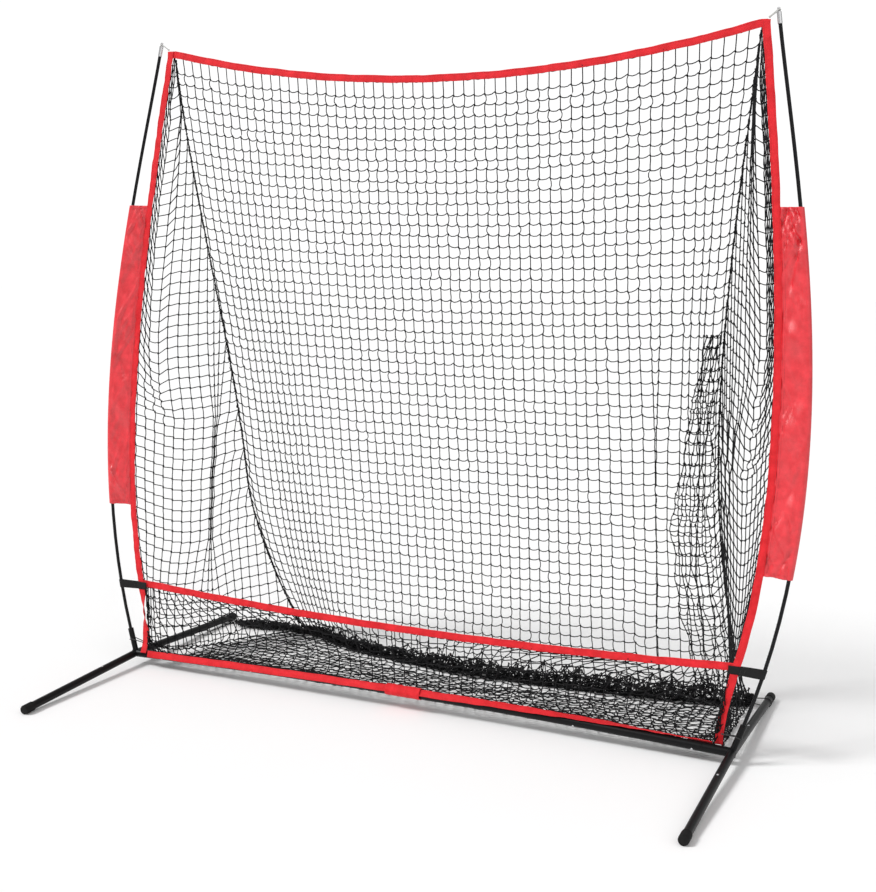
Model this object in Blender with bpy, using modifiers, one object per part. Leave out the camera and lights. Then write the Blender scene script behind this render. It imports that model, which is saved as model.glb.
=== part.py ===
"""Pitching target net: a steel base, two bowed fibreglass poles and a bag net.

Units are metres and +Z is up. +X runs along the cross tube and +Y to the rear,
so a ball is thrown along +Y. The origin is on the ground, midway between the
feet. A side of -1 is the left of the mouth, +1 the right.
"""

import math

import bmesh
import bpy
from mathutils import Matrix, Vector

# Base frame
HALF_WIDTH = 1.041  # from the middle to a corner bracket's axis
BRACKET_HEIGHT = 0.0403  # the brackets' axis above the ground
FRONT_REACH = 0.552  # from a bracket to the middle of the front foot cap
REAR_REACH = 0.603
BASE_Y = (FRONT_REACH - REAR_REACH) / 2  # the cross tube lies a little forward
TUBE_ARCH = 0.018  # the stretched net arches the cross tube up by this much
GAP = 0.0003  # between pieces that touch

# Tubes: outer radius, wall and the spigots that join them
LEG_RADIUS = 0.0125
CROSS_RADIUS = 0.014
TUBE_WALL = 0.0012
SPIGOT_WALL = 0.0016
SPIGOT_LENGTH = 0.060
SHOULDER = 0.004  # a spigot is closed this far behind the mouth it enters
EDGE = 0.0006  # small bevels on turned ends
LEG_TUBE_LENGTH = 0.406
CROSS_STUB = 0.086  # from a bracket's axis to the mouth of the side tube
SECTION_JOINT_X = 0.594  # where a side tube meets the middle tube
TUBE_STEPS = 16
FACET_TURN = math.radians(7)  # keeps the facets of two joined tubes off each other

# Rubber foot caps
CAP_RADIUS = 0.0148
CAP_LENGTH = 0.042
CAP_FLOOR = 0.008
CAP_EDGE = 0.0055  # the cap's far rim is rounded over this length
CAP_ROUNDING = 0.0016
CAP_SOLE = 0.0009  # depth of the small flat that each cap stands on

# Snap buttons: a domed pin on a folded spring leaf inside the spigot
BUTTON_RADIUS = 0.0035
BUTTON_PROUD = 0.0022
BUTTON_FROM_MOUTH = 0.028
BUTTON_FACING = (0, -1, -0.8)  # on the cross tube: forward and down, clear of the band
LEAF_WIDTH = 0.006
LEAF_THICKNESS = 0.0008
LEAF_UPPER = 0.0074
LEAF_LOWER = -0.0044
LEAF_LENGTH = 0.030
DOME_TURNS = [math.radians(angle) for angle in (0, 33, 64, 90)]

# Poles
LEAN = 0.195 / 2.13  # how far the poles lean back for each metre of height
POLE_RADIUS = 0.0055
SOCKET_SLOPE = 0.34  # how far the sockets lean outwards for each metre of height
SOCKET_RADIUS = 0.0095
SOCKET_LENGTH = 0.088
SOCKET_FLOOR = 0.024
STRAIGHT_HEIGHT = 0.080  # above its bracket a pole runs straight this far, then bows
POLE_TOP = 2.130
POLE_TIP_X = 1.029
BOW_LOWER = 0.75  # height of the lower handle of the pole's curve above its start
BOW_UPPER = 0.45  # the same for the upper handle, below the tip
TIP_SLOPE = -0.16
POLE_SECTIONS = ("lower", "middle", "upper")
FERRULE_RADIUS = 0.0080
FERRULE_BORE = POLE_RADIUS + 0.0010
FERRULE_LENGTH = 0.090
TIP_RADIUS = 0.0068
TIP_LENGTH = 0.046
TIP_BORE_DEPTH = 0.030
ROD_TOP = POLE_TOP - (TIP_LENGTH - TIP_BORE_DEPTH)  # where the rods end, inside the tips
TIP_WAIST = 0.0088  # the middle of the tip's waist above the rod's end
WAIST_RADIUS = 0.0030

# Net bag and its tapes
TRIM_WIDTH = 0.023
TRIM_THICKNESS = 0.0030
NET_THICKNESS = 0.0020
NET_TOP = 2.090
TOP_CORNER_X = 0.997
TOP_SAG = 0.114
BAND_HEIGHT = 0.284
BAND_SAG = 0.030
BAND_CORNER_X = 1.036
BAND_CLEARANCE = 0.005  # between a band's ends and the side trims
TRIM_BOTTOM = 0.082
TRIM_BOTTOM_X = 0.998
TRIM_BOW_LOWER = 0.45
TRIM_BOW_UPPER = 0.70
TRIM_HEAD = 0.010  # how far a side trim runs on above the top corner
TRIM_FOOT_SHIFT = 0.014  # a side trim's foot passes the cross tube by this much
BAND_LIFT = 0.0012  # from the cross tube to the bottom band
NET_GAP = 0.006  # between a panel of net and the tapes it hangs from
FRONT_OFFSET = 0.0045  # the net's front face stands just behind the poles' plane
BOTTOM_BAND_ANGLES = (18.0, 128.0)  # left and right, round the cross tube from the front
BOTTOM_BAND_TURN = 2.6  # the higher, the nearer to its right end the band goes over the tube
SEAM_CORNER_X = 0.982  # the bag's rear seams, at the top and at the ground
SEAM_PINCH = 0.108  # how far the bag's weight draws them in between
REAR_HOOK_REACH = 0.545  # where the rear loops hold the legs, behind a bracket
FOLD_BOW = 0.13  # how far the middle of the back's foot stands forward of its ends
LOOP_RADIUS = 0.0016
LOOP_SPREAD = 0.35  # half the width of a loop at its point, as a share of its radius
SOCKET_LOOP_REACH = 0.050  # along the pole socket
REAR_LOOP_LENGTH = 0.048

# Fabric sleeves and straps round the poles
SLEEVE_TOP = 1.585
SLEEVE_BOTTOM = 0.553
FABRIC = 0.0008
SLEEVE_RADIUS = 0.0105  # round the pole
SLEEVE_GAP = 0.0016  # from the side trim to the sleeves and straps sewn to it
STRAP_WIDTH = 0.025
STRAP_HEIGHT = 0.276
WEBBING = 0.0016
WRAP_LENGTH = 0.120
WRAP_LIFT = 0.0016  # from the cross tube to the wrap
WRAP_OVER_BAND = 0.0082  # how much further out it goes round the bottom band
WRAP_LEAN = math.radians(50)  # how far forward of the top that is

SIDES = {"left": -1, "right": 1}


def clear_scene():
    for item in list(bpy.data.objects):
        bpy.data.objects.remove(item, do_unlink=True)


def new_collection(name):
    collection = bpy.data.collections.new(name)
    bpy.context.scene.collection.children.link(collection)
    return collection


clear_scene()
PARTS = new_collection("pitching_target_net")
GUIDES = new_collection("guides")


def new_material(name, colour, roughness, metallic=0.0):
    material = bpy.data.materials.new(name)
    material.use_nodes = True
    shader = material.node_tree.nodes["Principled BSDF"]
    shader.inputs["Base Color"].default_value = (*colour, 1)
    shader.inputs["Roughness"].default_value = roughness
    shader.inputs["Metallic"].default_value = metallic
    return material


BLACK_STEEL = new_material("black_steel", (0.016, 0.016, 0.018), 0.35, 0.3)
SPRING_STEEL = new_material("spring_steel", (0.72, 0.72, 0.74), 0.25, 1.0)
RUBBER = new_material("black_rubber", (0.02, 0.02, 0.02), 0.75)
FIBREGLASS = new_material("black_fibreglass", (0.012, 0.012, 0.013), 0.25)
CHROME = new_material("bright_tip", (0.80, 0.80, 0.82), 0.18, 1.0)
TWINE = new_material("black_net", (0.015, 0.015, 0.016), 0.8)
RED_FABRIC = new_material("red_polyester", (0.80, 0.03, 0.06), 0.5)
BLACK_WEBBING = new_material("black_webbing", (0.012, 0.012, 0.013), 0.7)
WHITE_ELASTIC = new_material("pale_elastic", (0.82, 0.82, 0.82), 0.7)


def link(item, material, collection=None):
    """Puts an object in its collection and gives it its material."""
    (collection or PARTS).objects.link(item)
    item.data.materials.append(material)
    if collection is GUIDES:
        item.hide_render = True
        item.display_type = "WIRE"
    return item


def frame_at(origin, direction, up):
    """A matrix at origin with +Z along direction and +X as near up as it can be."""
    z_axis = Vector(direction).normalized()
    x_axis = Vector(up) - z_axis * z_axis.dot(Vector(up))
    x_axis.normalize()
    y_axis = z_axis.cross(x_axis)
    rotation = Matrix((x_axis, y_axis, z_axis)).transposed()
    return Matrix.Translation(origin) @ rotation.to_4x4()


def place(item, matrix, parent=None):
    """Sets an object's place in the world, under a parent when there is one."""
    if parent:
        item.parent = parent
        item.matrix_parent_inverse = Matrix()
        item.matrix_basis = parent.matrix_basis.inverted() @ matrix
    else:
        item.matrix_basis = matrix
    return item


def empty_at(name, matrix):
    item = bpy.data.objects.new(name, None)
    GUIDES.objects.link(item)
    item.matrix_basis = matrix
    return item


def lathe(name, profile, matrix, material, closed=False, steps=TUBE_STEPS, guide=False, parent=None):
    """A turned shape: profile is (radius, z) pairs, down the outer side first."""
    mesh = bpy.data.meshes.new(name)
    points = [(radius, 0, z) for radius, z in profile]
    edges = [(i, i + 1) for i in range(len(points) - 1)]
    if closed:
        edges.append((len(points) - 1, 0))
    mesh.from_pydata(points, edges, [])
    item = bpy.data.objects.new(name, mesh)
    screw = item.modifiers.new("turn", "SCREW")
    screw.steps = steps
    screw.render_steps = steps
    screw.use_merge_vertices = True
    screw.merge_threshold = 0.00001
    screw.use_smooth_shade = True
    link(item, material, GUIDES if guide else None)
    return place(item, matrix, parent)


def boolean(item, other, operation="DIFFERENCE"):
    modifier = item.modifiers.new(operation.lower(), "BOOLEAN")
    modifier.operation = operation
    modifier.solver = "EXACT"
    modifier.object = other


def rod(name, points, radius, material, cyclic=False, resolution=3):
    """A round bar along a line of points."""
    curve = bpy.data.curves.new(name, "CURVE")
    curve.dimensions = "3D"
    curve.bevel_depth = radius
    curve.bevel_resolution = resolution
    curve.use_fill_caps = True
    curve.resolution_u = 1
    spline = curve.splines.new("POLY")
    spline.points.add(len(points) - 1)
    for target, point in zip(spline.points, points):
        target.co = (*point, 1)
    spline.use_cyclic_u = cyclic
    return link(bpy.data.objects.new(name, curve), material)


def sheet(name, rows, thickness, material, closed=False):
    """A sheet through rows of points, thickened evenly to both sides."""
    mesh = bpy.data.meshes.new(name)
    build = bmesh.new()
    grid = [[build.verts.new(point) for point in row] for row in rows]
    for lower, upper in zip(grid, grid[1:]):
        count = len(lower)
        for i in range(count if closed else count - 1):
            j = (i + 1) % count
            build.faces.new((lower[i], lower[j], upper[j], upper[i]))
    build.to_mesh(mesh)
    build.free()
    item = bpy.data.objects.new(name, mesh)
    solid = item.modifiers.new("thickness", "SOLIDIFY")
    solid.thickness = thickness
    solid.offset = 0
    return link(item, material)


def steps_between(start, end, count):
    return [start + (end - start) * i / (count - 1) for i in range(count)]


def bezier(p0, p1, p2, p3, t):
    s = 1 - t
    return p0 * s**3 + p1 * (3 * s * s * t) + p2 * (3 * s * t * t) + p3 * t**3


def lean_y(z, offset=0.0):
    """Depth of the poles' leaning plane at a height."""
    return BASE_Y + LEAN * z + offset


def arch(x):
    """How far the arched cross tube rises above the brackets' axis."""
    return TUBE_ARCH * (1 - (x / HALF_WIDTH) ** 2)


# ---------------------------------------------------------------- tubes and buttons


def hollow_tube(start, end, radius, inner):
    """Profile of an open tube with chamfered mouths."""
    edge = 0.0004
    return [
        (radius - edge, end),
        (radius, end - edge),
        (radius, start + edge),
        (radius - edge, start),
        (inner, start),
        (inner, end),
    ]


def spigot_radius(radius):
    return radius - TUBE_WALL - GAP


def stub_profile(mouth, radius):
    """A solid stub that steps down at its mouth to a hollow spigot."""
    spigot = spigot_radius(radius)
    bore = spigot - SPIGOT_WALL
    tip = mouth + SPIGOT_LENGTH
    past_axis = 0.010
    return [
        (0, mouth - SHOULDER),
        (bore, mouth - SHOULDER),
        (bore, tip),
        (spigot - EDGE, tip),
        (spigot, tip - EDGE),
        (spigot, mouth - GAP),
        (radius, mouth - GAP),
        (radius, -past_axis),
        (0, -past_axis),
    ]


def snap_button(name, tube_frame, distance, radius):
    """A domed pin on a folded leaf, in the spigot at a distance along the tube."""
    origin = tube_frame @ Vector((0, 0, distance))
    up = tube_frame.to_3x3() @ Vector((1, 0, 0))
    along = tube_frame.to_3x3() @ Vector((0, 0, 1))
    matrix = frame_at(origin, up, along)
    bend_radius = (LEAF_UPPER - LEAF_LOWER) / 2
    middle = (LEAF_UPPER + LEAF_LOWER) / 2
    seat = BUTTON_RADIUS + 0.0015
    outline = [(seat, LEAF_UPPER)]
    straight = LEAF_LENGTH - bend_radius - seat
    for angle in steps_between(90, 270, 7):
        turn = math.radians(angle)
        outline.append((-straight + bend_radius * math.cos(turn), middle + bend_radius * math.sin(turn)))
    outline.append((seat, LEAF_LOWER))
    rows = [[(x, y, z) for y in (LEAF_WIDTH / 2, -LEAF_WIDTH / 2)] for x, z in outline]
    button = sheet(name, rows, LEAF_THICKNESS, SPRING_STEEL)
    place(button, matrix)
    top = radius + BUTTON_PROUD
    crown = 0.0020
    root = LEAF_UPPER - LEAF_THICKNESS / 4
    dome = [(BUTTON_RADIUS * math.sin(turn), top - crown + crown * math.cos(turn)) for turn in DOME_TURNS]
    dome += [(BUTTON_RADIUS, root), (0, root)]
    pin = lathe(name + "_pin", dome, matrix, SPRING_STEEL, steps=12, guide=True)
    boolean(button, pin, "UNION")
    return matrix


def button_hole(name, matrix):
    """Cutter for the hole that a button stands in."""
    reach = 0.030
    radius = BUTTON_RADIUS + GAP
    profile = [(0, reach), (radius, reach), (radius, 0.0), (0, 0.0)]
    return lathe(name, profile, matrix, SPRING_STEEL, steps=12, guide=True)


# ------------------------------------------------------------------------ base frame


def bracket_centre(side):
    return Vector((side * HALF_WIDTH, BASE_Y, BRACKET_HEIGHT))


def leg_frame(side, direction, reach):
    """Frame at a bracket's axis with +Z down along a leg and +X upwards."""
    drop = BRACKET_HEIGHT - (CAP_RADIUS - CAP_SOLE)
    run = reach + CAP_LENGTH / 2 - CAP_EDGE
    return frame_at(bracket_centre(side), (0, direction * run, -drop), (0, 0, 1))


def ground_cutter():
    """A block with its top at the ground, which gives each foot cap its flat sole."""
    name = "ground_cutter"
    if name in bpy.data.objects:
        return bpy.data.objects[name]
    size = 3.0
    mesh = bpy.data.meshes.new(name)
    build = bmesh.new()
    bmesh.ops.create_cube(build, size=size, matrix=Matrix.Translation((0, 0, -size / 2)))
    build.to_mesh(mesh)
    build.free()
    return link(bpy.data.objects.new(name, mesh), RUBBER, GUIDES)


def leg_mouth(reach):
    """Distance along a leg from its bracket's axis to the tube's mouth."""
    return reach + CAP_LENGTH / 2 - CAP_FLOOR - GAP - LEG_TUBE_LENGTH


def make_leg(label, side, direction, reach):
    """One leg tube with its foot cap; the stub it slides on is the bracket's."""
    matrix = leg_frame(side, direction, reach)
    axis = empty_at("leg_axis_" + label, matrix)
    mouth = leg_mouth(reach)
    hole_frame = snap_button("leg_button_" + label, matrix, mouth + BUTTON_FROM_MOUTH, LEG_RADIUS)
    hole = button_hole("leg_hole_" + label, hole_frame)
    tube_profile = hollow_tube(mouth, mouth + LEG_TUBE_LENGTH, LEG_RADIUS, LEG_RADIUS - TUBE_WALL)
    tube = lathe("leg_tube_" + label, tube_profile, matrix, BLACK_STEEL, closed=True, parent=axis)
    boolean(tube, hole)
    end = reach + CAP_LENGTH / 2
    inner = LEG_RADIUS + GAP
    cap = [
        (0, end),
        (CAP_RADIUS - CAP_EDGE, end),
        (CAP_RADIUS - CAP_ROUNDING, end - CAP_ROUNDING),
        (CAP_RADIUS, end - CAP_EDGE),
        (CAP_RADIUS, end - CAP_LENGTH + CAP_ROUNDING),
        (CAP_RADIUS - CAP_ROUNDING, end - CAP_LENGTH),
        (inner, end - CAP_LENGTH),
        (inner, end - CAP_FLOOR),
        (0, end - CAP_FLOOR),
    ]
    foot = lathe("foot_cap_" + label, cap, matrix, RUBBER, parent=axis)
    boolean(foot, ground_cutter())
    return hole


def bend_to_arch(item):
    """Bakes an object's modifiers and bends its mesh to the cross tube's arch."""
    bpy.context.view_layer.update()
    evaluated = item.evaluated_get(bpy.context.evaluated_depsgraph_get())
    mesh = bpy.data.meshes.new_from_object(evaluated)
    mesh.transform(item.matrix_world)
    for vertex in mesh.vertices:
        vertex.co.z += arch(vertex.co.x)
    item.modifiers.clear()
    item.data = mesh
    item.matrix_basis = Matrix()
    return item


def cross_frame(side):
    """Frame at a bracket with +Z along the cross tube and +X the way its buttons face."""
    return frame_at(bracket_centre(side), (-side, 0, 0), BUTTON_FACING)


def divided(profile, pieces=4):
    """The same profile with its long runs divided, so that it can bend."""
    long_run = 0.1
    result = []
    for (r0, z0), (r1, z1) in zip(profile, profile[1:] + profile[:1]):
        count = pieces if abs(z1 - z0) > long_run else 1
        result += [(r0 + (r1 - r0) * i / count, z0 + (z1 - z0) * i / count) for i in range(count)]
    return result


def make_cross_tubes():
    """The arched cross tube: a middle tube, and a side tube with a spigot each side."""
    inner = CROSS_RADIUS - TUBE_WALL
    spigot = spigot_radius(CROSS_RADIUS)
    bore = spigot - SPIGOT_WALL
    holes = {}
    middle_holes = []
    for label, side in SIDES.items():
        matrix = cross_frame(side)
        joint = HALF_WIDTH - SECTION_JOINT_X
        outer_button = snap_button(
            "tube_button_outer_" + label, matrix, CROSS_STUB + BUTTON_FROM_MOUTH, CROSS_RADIUS
        )
        inner_button = snap_button(
            "tube_button_inner_" + label, matrix, joint + BUTTON_FROM_MOUTH, CROSS_RADIUS
        )
        outer_hole = button_hole("tube_hole_outer_" + label, outer_button)
        inner_hole = button_hole("tube_hole_inner_" + label, inner_button)
        tip = joint + SPIGOT_LENGTH
        profile = [
            (CROSS_RADIUS - EDGE, CROSS_STUB),
            (inner, CROSS_STUB),
            (inner, joint - 1.5 * SHOULDER),
            (bore, joint - SHOULDER),
            (bore, tip),
            (spigot - EDGE, tip),
            (spigot, tip - EDGE),
            (spigot, joint - GAP),
            (CROSS_RADIUS, joint - GAP),
            (CROSS_RADIUS, CROSS_STUB + EDGE),
        ]
        tube = lathe("cross_tube_" + label, divided(profile), matrix, BLACK_STEEL, closed=True)
        boolean(tube, outer_hole)
        boolean(tube, inner_hole)
        bend_to_arch(tube)
        for name in ("tube_button_outer_", "tube_button_inner_"):
            bend_to_arch(bpy.data.objects[name + label])
        holes[label] = outer_hole
        middle_holes.append(inner_hole)
    length = HALF_WIDTH + SECTION_JOINT_X
    profile = divided(hollow_tube(HALF_WIDTH - SECTION_JOINT_X, length, CROSS_RADIUS, inner), 8)
    middle = lathe("cross_tube_centre", profile, cross_frame(1), BLACK_STEEL, closed=True)
    for hole in middle_holes:
        boolean(middle, hole)
    bend_to_arch(middle)
    return holes


def socket_direction(side):
    return Vector((side * SOCKET_SLOPE, LEAN, 1)).normalized()


def make_bracket(label, side, leg_holes, cross_hole):
    """The welded corner: two leg stubs, a cross stub and a leaning pole socket."""
    front = leg_frame(side, -1, FRONT_REACH)
    rear = leg_frame(side, 1, REAR_REACH) @ Matrix.Rotation(FACET_TURN, 4, "Z")
    bracket = lathe(
        "corner_bracket_" + label, stub_profile(leg_mouth(FRONT_REACH), LEG_RADIUS), front, BLACK_STEEL
    )
    rear_stub = lathe(
        "rear_stub_" + label, stub_profile(leg_mouth(REAR_REACH), LEG_RADIUS), rear, BLACK_STEEL, guide=True
    )
    cross_stub = lathe(
        "cross_stub_" + label,
        stub_profile(CROSS_STUB, CROSS_RADIUS),
        cross_frame(side),
        BLACK_STEEL,
        guide=True,
    )
    bend_to_arch(cross_stub)
    socket_frame = frame_at(bracket_centre(side), socket_direction(side), (side, 0, 0))
    inner = POLE_RADIUS + GAP
    past_axis = 0.006
    socket_profile = [
        (0, SOCKET_FLOOR),
        (inner, SOCKET_FLOOR),
        (inner, SOCKET_LENGTH),
        (SOCKET_RADIUS - EDGE, SOCKET_LENGTH),
        (SOCKET_RADIUS, SOCKET_LENGTH - EDGE),
        (SOCKET_RADIUS, -past_axis),
        (0, -past_axis),
    ]
    socket = lathe("socket_" + label, socket_profile, socket_frame, BLACK_STEEL, guide=True)
    for other in (rear_stub, cross_stub, socket):
        boolean(bracket, other, "UNION")
    for hole in (*leg_holes, cross_hole):
        boolean(bracket, hole)


def make_base():
    cross_holes = make_cross_tubes()
    for label, side in SIDES.items():
        leg_holes = [
            make_leg("front_" + label, side, -1, FRONT_REACH),
            make_leg("rear_" + label, side, 1, REAR_REACH),
        ]
        make_bracket(label, side, leg_holes, bend_to_arch(cross_holes[label]))


# ----------------------------------------------------------------------------- poles


def x_on_curve(handles, z):
    """The x of a rising curve at a height, found by halving."""
    low, high = 0.0, 1.0
    for _ in range(40):
        middle = (low + high) / 2
        if bezier(*handles, middle).y < z:
            low = middle
        else:
            high = middle
    return bezier(*handles, (low + high) / 2).x


def pole_x(z):
    """Distance of a pole's centre line from the middle, at a height."""
    start_z = BRACKET_HEIGHT + STRAIGHT_HEIGHT
    start_x = HALF_WIDTH + SOCKET_SLOPE * STRAIGHT_HEIGHT
    if z <= start_z:
        return HALF_WIDTH + SOCKET_SLOPE * (z - BRACKET_HEIGHT)
    handles = (
        Vector((start_x, start_z)),
        Vector((start_x + SOCKET_SLOPE * BOW_LOWER, start_z + BOW_LOWER)),
        Vector((POLE_TIP_X - TIP_SLOPE * BOW_UPPER, POLE_TOP - BOW_UPPER)),
        Vector((POLE_TIP_X, POLE_TOP)),
    )
    return x_on_curve(handles, z)


def pole_point(side, z):
    return Vector((side * pole_x(z), lean_y(z) - LEAN * BRACKET_HEIGHT, z))


def pole_tangent(side, z):
    step = 0.002
    return (pole_point(side, z) - pole_point(side, z - step)).normalized()


def make_pole(label, side):
    """Three rods joined by two ferrules, standing in the socket, with a bright tip."""
    above_floor = 0.001
    bottom = BRACKET_HEIGHT + (SOCKET_FLOOR + above_floor) * socket_direction(side).z
    heights = steps_between(bottom, ROD_TOP, len(POLE_SECTIONS) + 1)
    half_gap = GAP / 2
    for number, section in enumerate(POLE_SECTIONS):
        start = heights[number] + (half_gap if number else 0)
        end = heights[number + 1] - half_gap
        levels = steps_between(start, end, 10)
        if number == 0:
            bowed_from = BRACKET_HEIGHT + STRAIGHT_HEIGHT
            levels = [start, (start + bowed_from) / 2] + steps_between(bowed_from, end, 9)
        points = [pole_point(side, z) for z in levels]
        rod(f"pole_{section}_{label}", points, POLE_RADIUS, FIBREGLASS)
    for section, z in zip(POLE_SECTIONS, heights[1:-1]):
        make_ferrule(f"pole_ferrule_{section}_{label}", side, z)
    make_tip("pole_tip_" + label, side)


def make_ferrule(name, side, z):
    """A metal sleeve over the joint of two rods, rolled in at its mouths."""
    half = FERRULE_LENGTH / 2
    groove = 0.002
    groove_radius = FERRULE_RADIUS - 0.0004
    profile = [
        (FERRULE_RADIUS - EDGE, half),
        (FERRULE_RADIUS, half - EDGE),
        (FERRULE_RADIUS, 2 * groove),
        (groove_radius, groove),
        (groove_radius, -groove),
        (FERRULE_RADIUS, -2 * groove),
        (FERRULE_RADIUS, -half + EDGE),
        (FERRULE_RADIUS - EDGE, -half),
        (FERRULE_BORE, -half),
        (FERRULE_BORE, half),
    ]
    matrix = frame_at(pole_point(side, z), pole_tangent(side, z), (side, 0, 0))
    lathe(name, profile, matrix, CHROME, closed=True, steps=14)


def make_tip(name, side):
    """A bright cap on the pole with a waisted knob that the net's loop hooks on."""
    mouth = -TIP_BORE_DEPTH
    knob = TIP_LENGTH - TIP_BORE_DEPTH
    inner = POLE_RADIUS + 2 * GAP
    profile = [
        (0, knob),
        (0.0026, knob),
        (0.0044, knob - 0.0012),
        (0.0048, knob - 0.0030),
        (0.0044, knob - 0.0046),
        (WAIST_RADIUS, knob - 0.0056),
        (WAIST_RADIUS, knob - 0.0090),
        (0.0050, 0.0050),
        (TIP_RADIUS, 0.0030),
        (TIP_RADIUS, mouth + EDGE),
        (TIP_RADIUS - EDGE, mouth),
        (inner, mouth),
        (inner, GAP),
        (0, GAP),
    ]
    matrix = frame_at(pole_point(side, ROD_TOP), pole_tangent(side, ROD_TOP), (side, 0, 0))
    lathe(name, profile, matrix, CHROME, steps=14)


# ------------------------------------------------------------------- trims and bands


def trim_x(z):
    """Distance of a side trim's centre line from the middle, at a height."""
    if z <= BAND_HEIGHT:
        share = (z - TRIM_BOTTOM) / (BAND_HEIGHT - TRIM_BOTTOM)
        return TRIM_BOTTOM_X + (BAND_CORNER_X - TRIM_BOTTOM_X) * share**1.3 if share > 0 else TRIM_BOTTOM_X
    handles = (
        Vector((BAND_CORNER_X, BAND_HEIGHT)),
        Vector((BAND_CORNER_X + 0.25 * TRIM_BOW_LOWER, BAND_HEIGHT + TRIM_BOW_LOWER)),
        Vector((TOP_CORNER_X + 0.14 * TRIM_BOW_UPPER, NET_TOP - TRIM_BOW_UPPER)),
        Vector((TOP_CORNER_X, NET_TOP)),
    )
    return x_on_curve(handles, z)


def trim_shift(side, z):
    """The left trim's foot passes in front of the cross tube, the right one behind."""
    share = max(0.0, 1 - (z - TRIM_BOTTOM) / (BAND_HEIGHT - TRIM_BOTTOM))
    return side * TRIM_FOOT_SHIFT * share


def trim_y(side, z):
    return lean_y(z, FRONT_OFFSET) + trim_shift(side, z)


def make_side_trim(label, side):
    """The tape up one side of the mouth."""
    levels = steps_between(TRIM_BOTTOM, BAND_HEIGHT, 6)
    levels += steps_between(BAND_HEIGHT, NET_TOP + TRIM_HEAD, 17)[1:]
    rows = []
    for z in levels:
        x = trim_x(min(z, NET_TOP))
        y = trim_y(side, z)
        edges = (x - TRIM_WIDTH / 2, x + TRIM_WIDTH / 2)
        rows.append([(side * edge, y, z) for edge in edges])
    sheet("trim_side_" + label, rows, TRIM_THICKNESS, RED_FABRIC)


def level_band(name, half_length, height, sag):
    """A tape across the mouth, sagging between its ends."""
    rows = []
    for x in steps_between(-half_length, half_length, 21):
        z = height - sag * (1 - (x / half_length) ** 2)
        y = lean_y(z, FRONT_OFFSET)
        rows.append([(x, y + LEAN * rise, z + rise) for rise in (-TRIM_WIDTH / 2, TRIM_WIDTH / 2)])
    sheet(name, rows, TRIM_THICKNESS, RED_FABRIC)


def band_angle(x, half_length):
    left, right = BOTTOM_BAND_ANGLES
    share = (x + half_length) / (2 * half_length)
    return math.radians(left + (right - left) * share**BOTTOM_BAND_TURN)


def bottom_band(half_length):
    """The tape lying on the cross tube, from its front at the left to its rear."""
    distance = CROSS_RADIUS + BAND_LIFT + TRIM_THICKNESS / 2
    rows = []
    for x in steps_between(-half_length, half_length, 25):
        angle = band_angle(x, half_length)
        outward = Vector((0, -math.cos(angle), math.sin(angle)))
        across = Vector((0, math.sin(angle), math.cos(angle)))
        centre = Vector((x, BASE_Y, BRACKET_HEIGHT + arch(x))) + outward * distance
        rows.append([centre - across * TRIM_WIDTH / 2, centre + across * TRIM_WIDTH / 2])
    sheet("trim_bottom", rows, TRIM_THICKNESS, RED_FABRIC)


def make_bands():
    inner_edge = TRIM_WIDTH / 2 + BAND_CLEARANCE
    level_band("trim_top", TOP_CORNER_X - inner_edge, NET_TOP, TOP_SAG)
    level_band("trim_middle", BAND_CORNER_X - inner_edge, BAND_HEIGHT, BAND_SAG)
    bottom_band(TRIM_BOTTOM_X - inner_edge)


def make_centre_wrap():
    """A hook-and-loop wrap round the middle of the cross tube and the bottom band."""
    rows = []
    for x in steps_between(-WRAP_LENGTH / 2, WRAP_LENGTH / 2, 3):
        centre = Vector((x, BASE_Y, BRACKET_HEIGHT + arch(x)))
        ring = []
        for number in range(16):
            turn = math.tau * number / 16
            over = min(1.0, max(0.0, 1.4 * math.sin(turn + WRAP_LEAN)))
            radius = CROSS_RADIUS + WRAP_LIFT + WRAP_OVER_BAND * over
            ring.append(centre + Vector((0, -math.cos(turn) * radius, math.sin(turn) * radius)))
        rows.append(ring[::-1])
    sheet("centre_wrap", rows, FABRIC, RED_FABRIC, closed=True)


# ------------------------------------------------------------------ sleeves and straps


def pole_loop(name, side, levels, inner_x, radius, thickness, material):
    """A flat loop of cloth from the trim round the pole, lofted over the levels."""
    nose = 0.0018  # half its depth where it is sewn together
    rows = []
    for z in levels:
        pole = pole_point(side, z)
        start = Vector((side * inner_x(z), trim_y(side, z) - trim_shift(side, z), z))
        out = Vector((pole.x - start.x, pole.y - start.y, 0)).normalized()
        across = Vector((-out.y, out.x, 0))
        ring = [start - across * nose, start + across * nose]
        for angle in steps_between(90, -90, 9):
            turn = math.radians(angle)
            ring.append(pole + (out * math.cos(turn) + across * math.sin(turn)) * radius)
        rows.append(ring if side < 0 else ring[::-1])
    sheet(name, rows, thickness, material, closed=True)


def make_sleeve(label, side):
    """The red sleeve that the pole runs through, sewn to the side trim."""

    def edge(z):
        return trim_x(z) + TRIM_WIDTH / 2 + SLEEVE_GAP

    levels = steps_between(SLEEVE_BOTTOM, SLEEVE_TOP, 10)
    pole_loop("sleeve_" + label, side, levels, edge, SLEEVE_RADIUS, FABRIC, RED_FABRIC)


def make_strap(label, side):
    """The black webbing that ties the net to the pole beside the middle band."""

    def edge(z):
        return trim_x(z) + TRIM_WIDTH / 2 + SLEEVE_GAP + WEBBING / 2

    levels = steps_between(STRAP_HEIGHT - STRAP_WIDTH / 2, STRAP_HEIGHT + STRAP_WIDTH / 2, 3)
    radius = POLE_RADIUS + GAP + WEBBING / 2
    pole_loop("pole_strap_" + label, side, levels, edge, radius, WEBBING, BLACK_WEBBING)


# -------------------------------------------------------------------------- net panels


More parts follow.
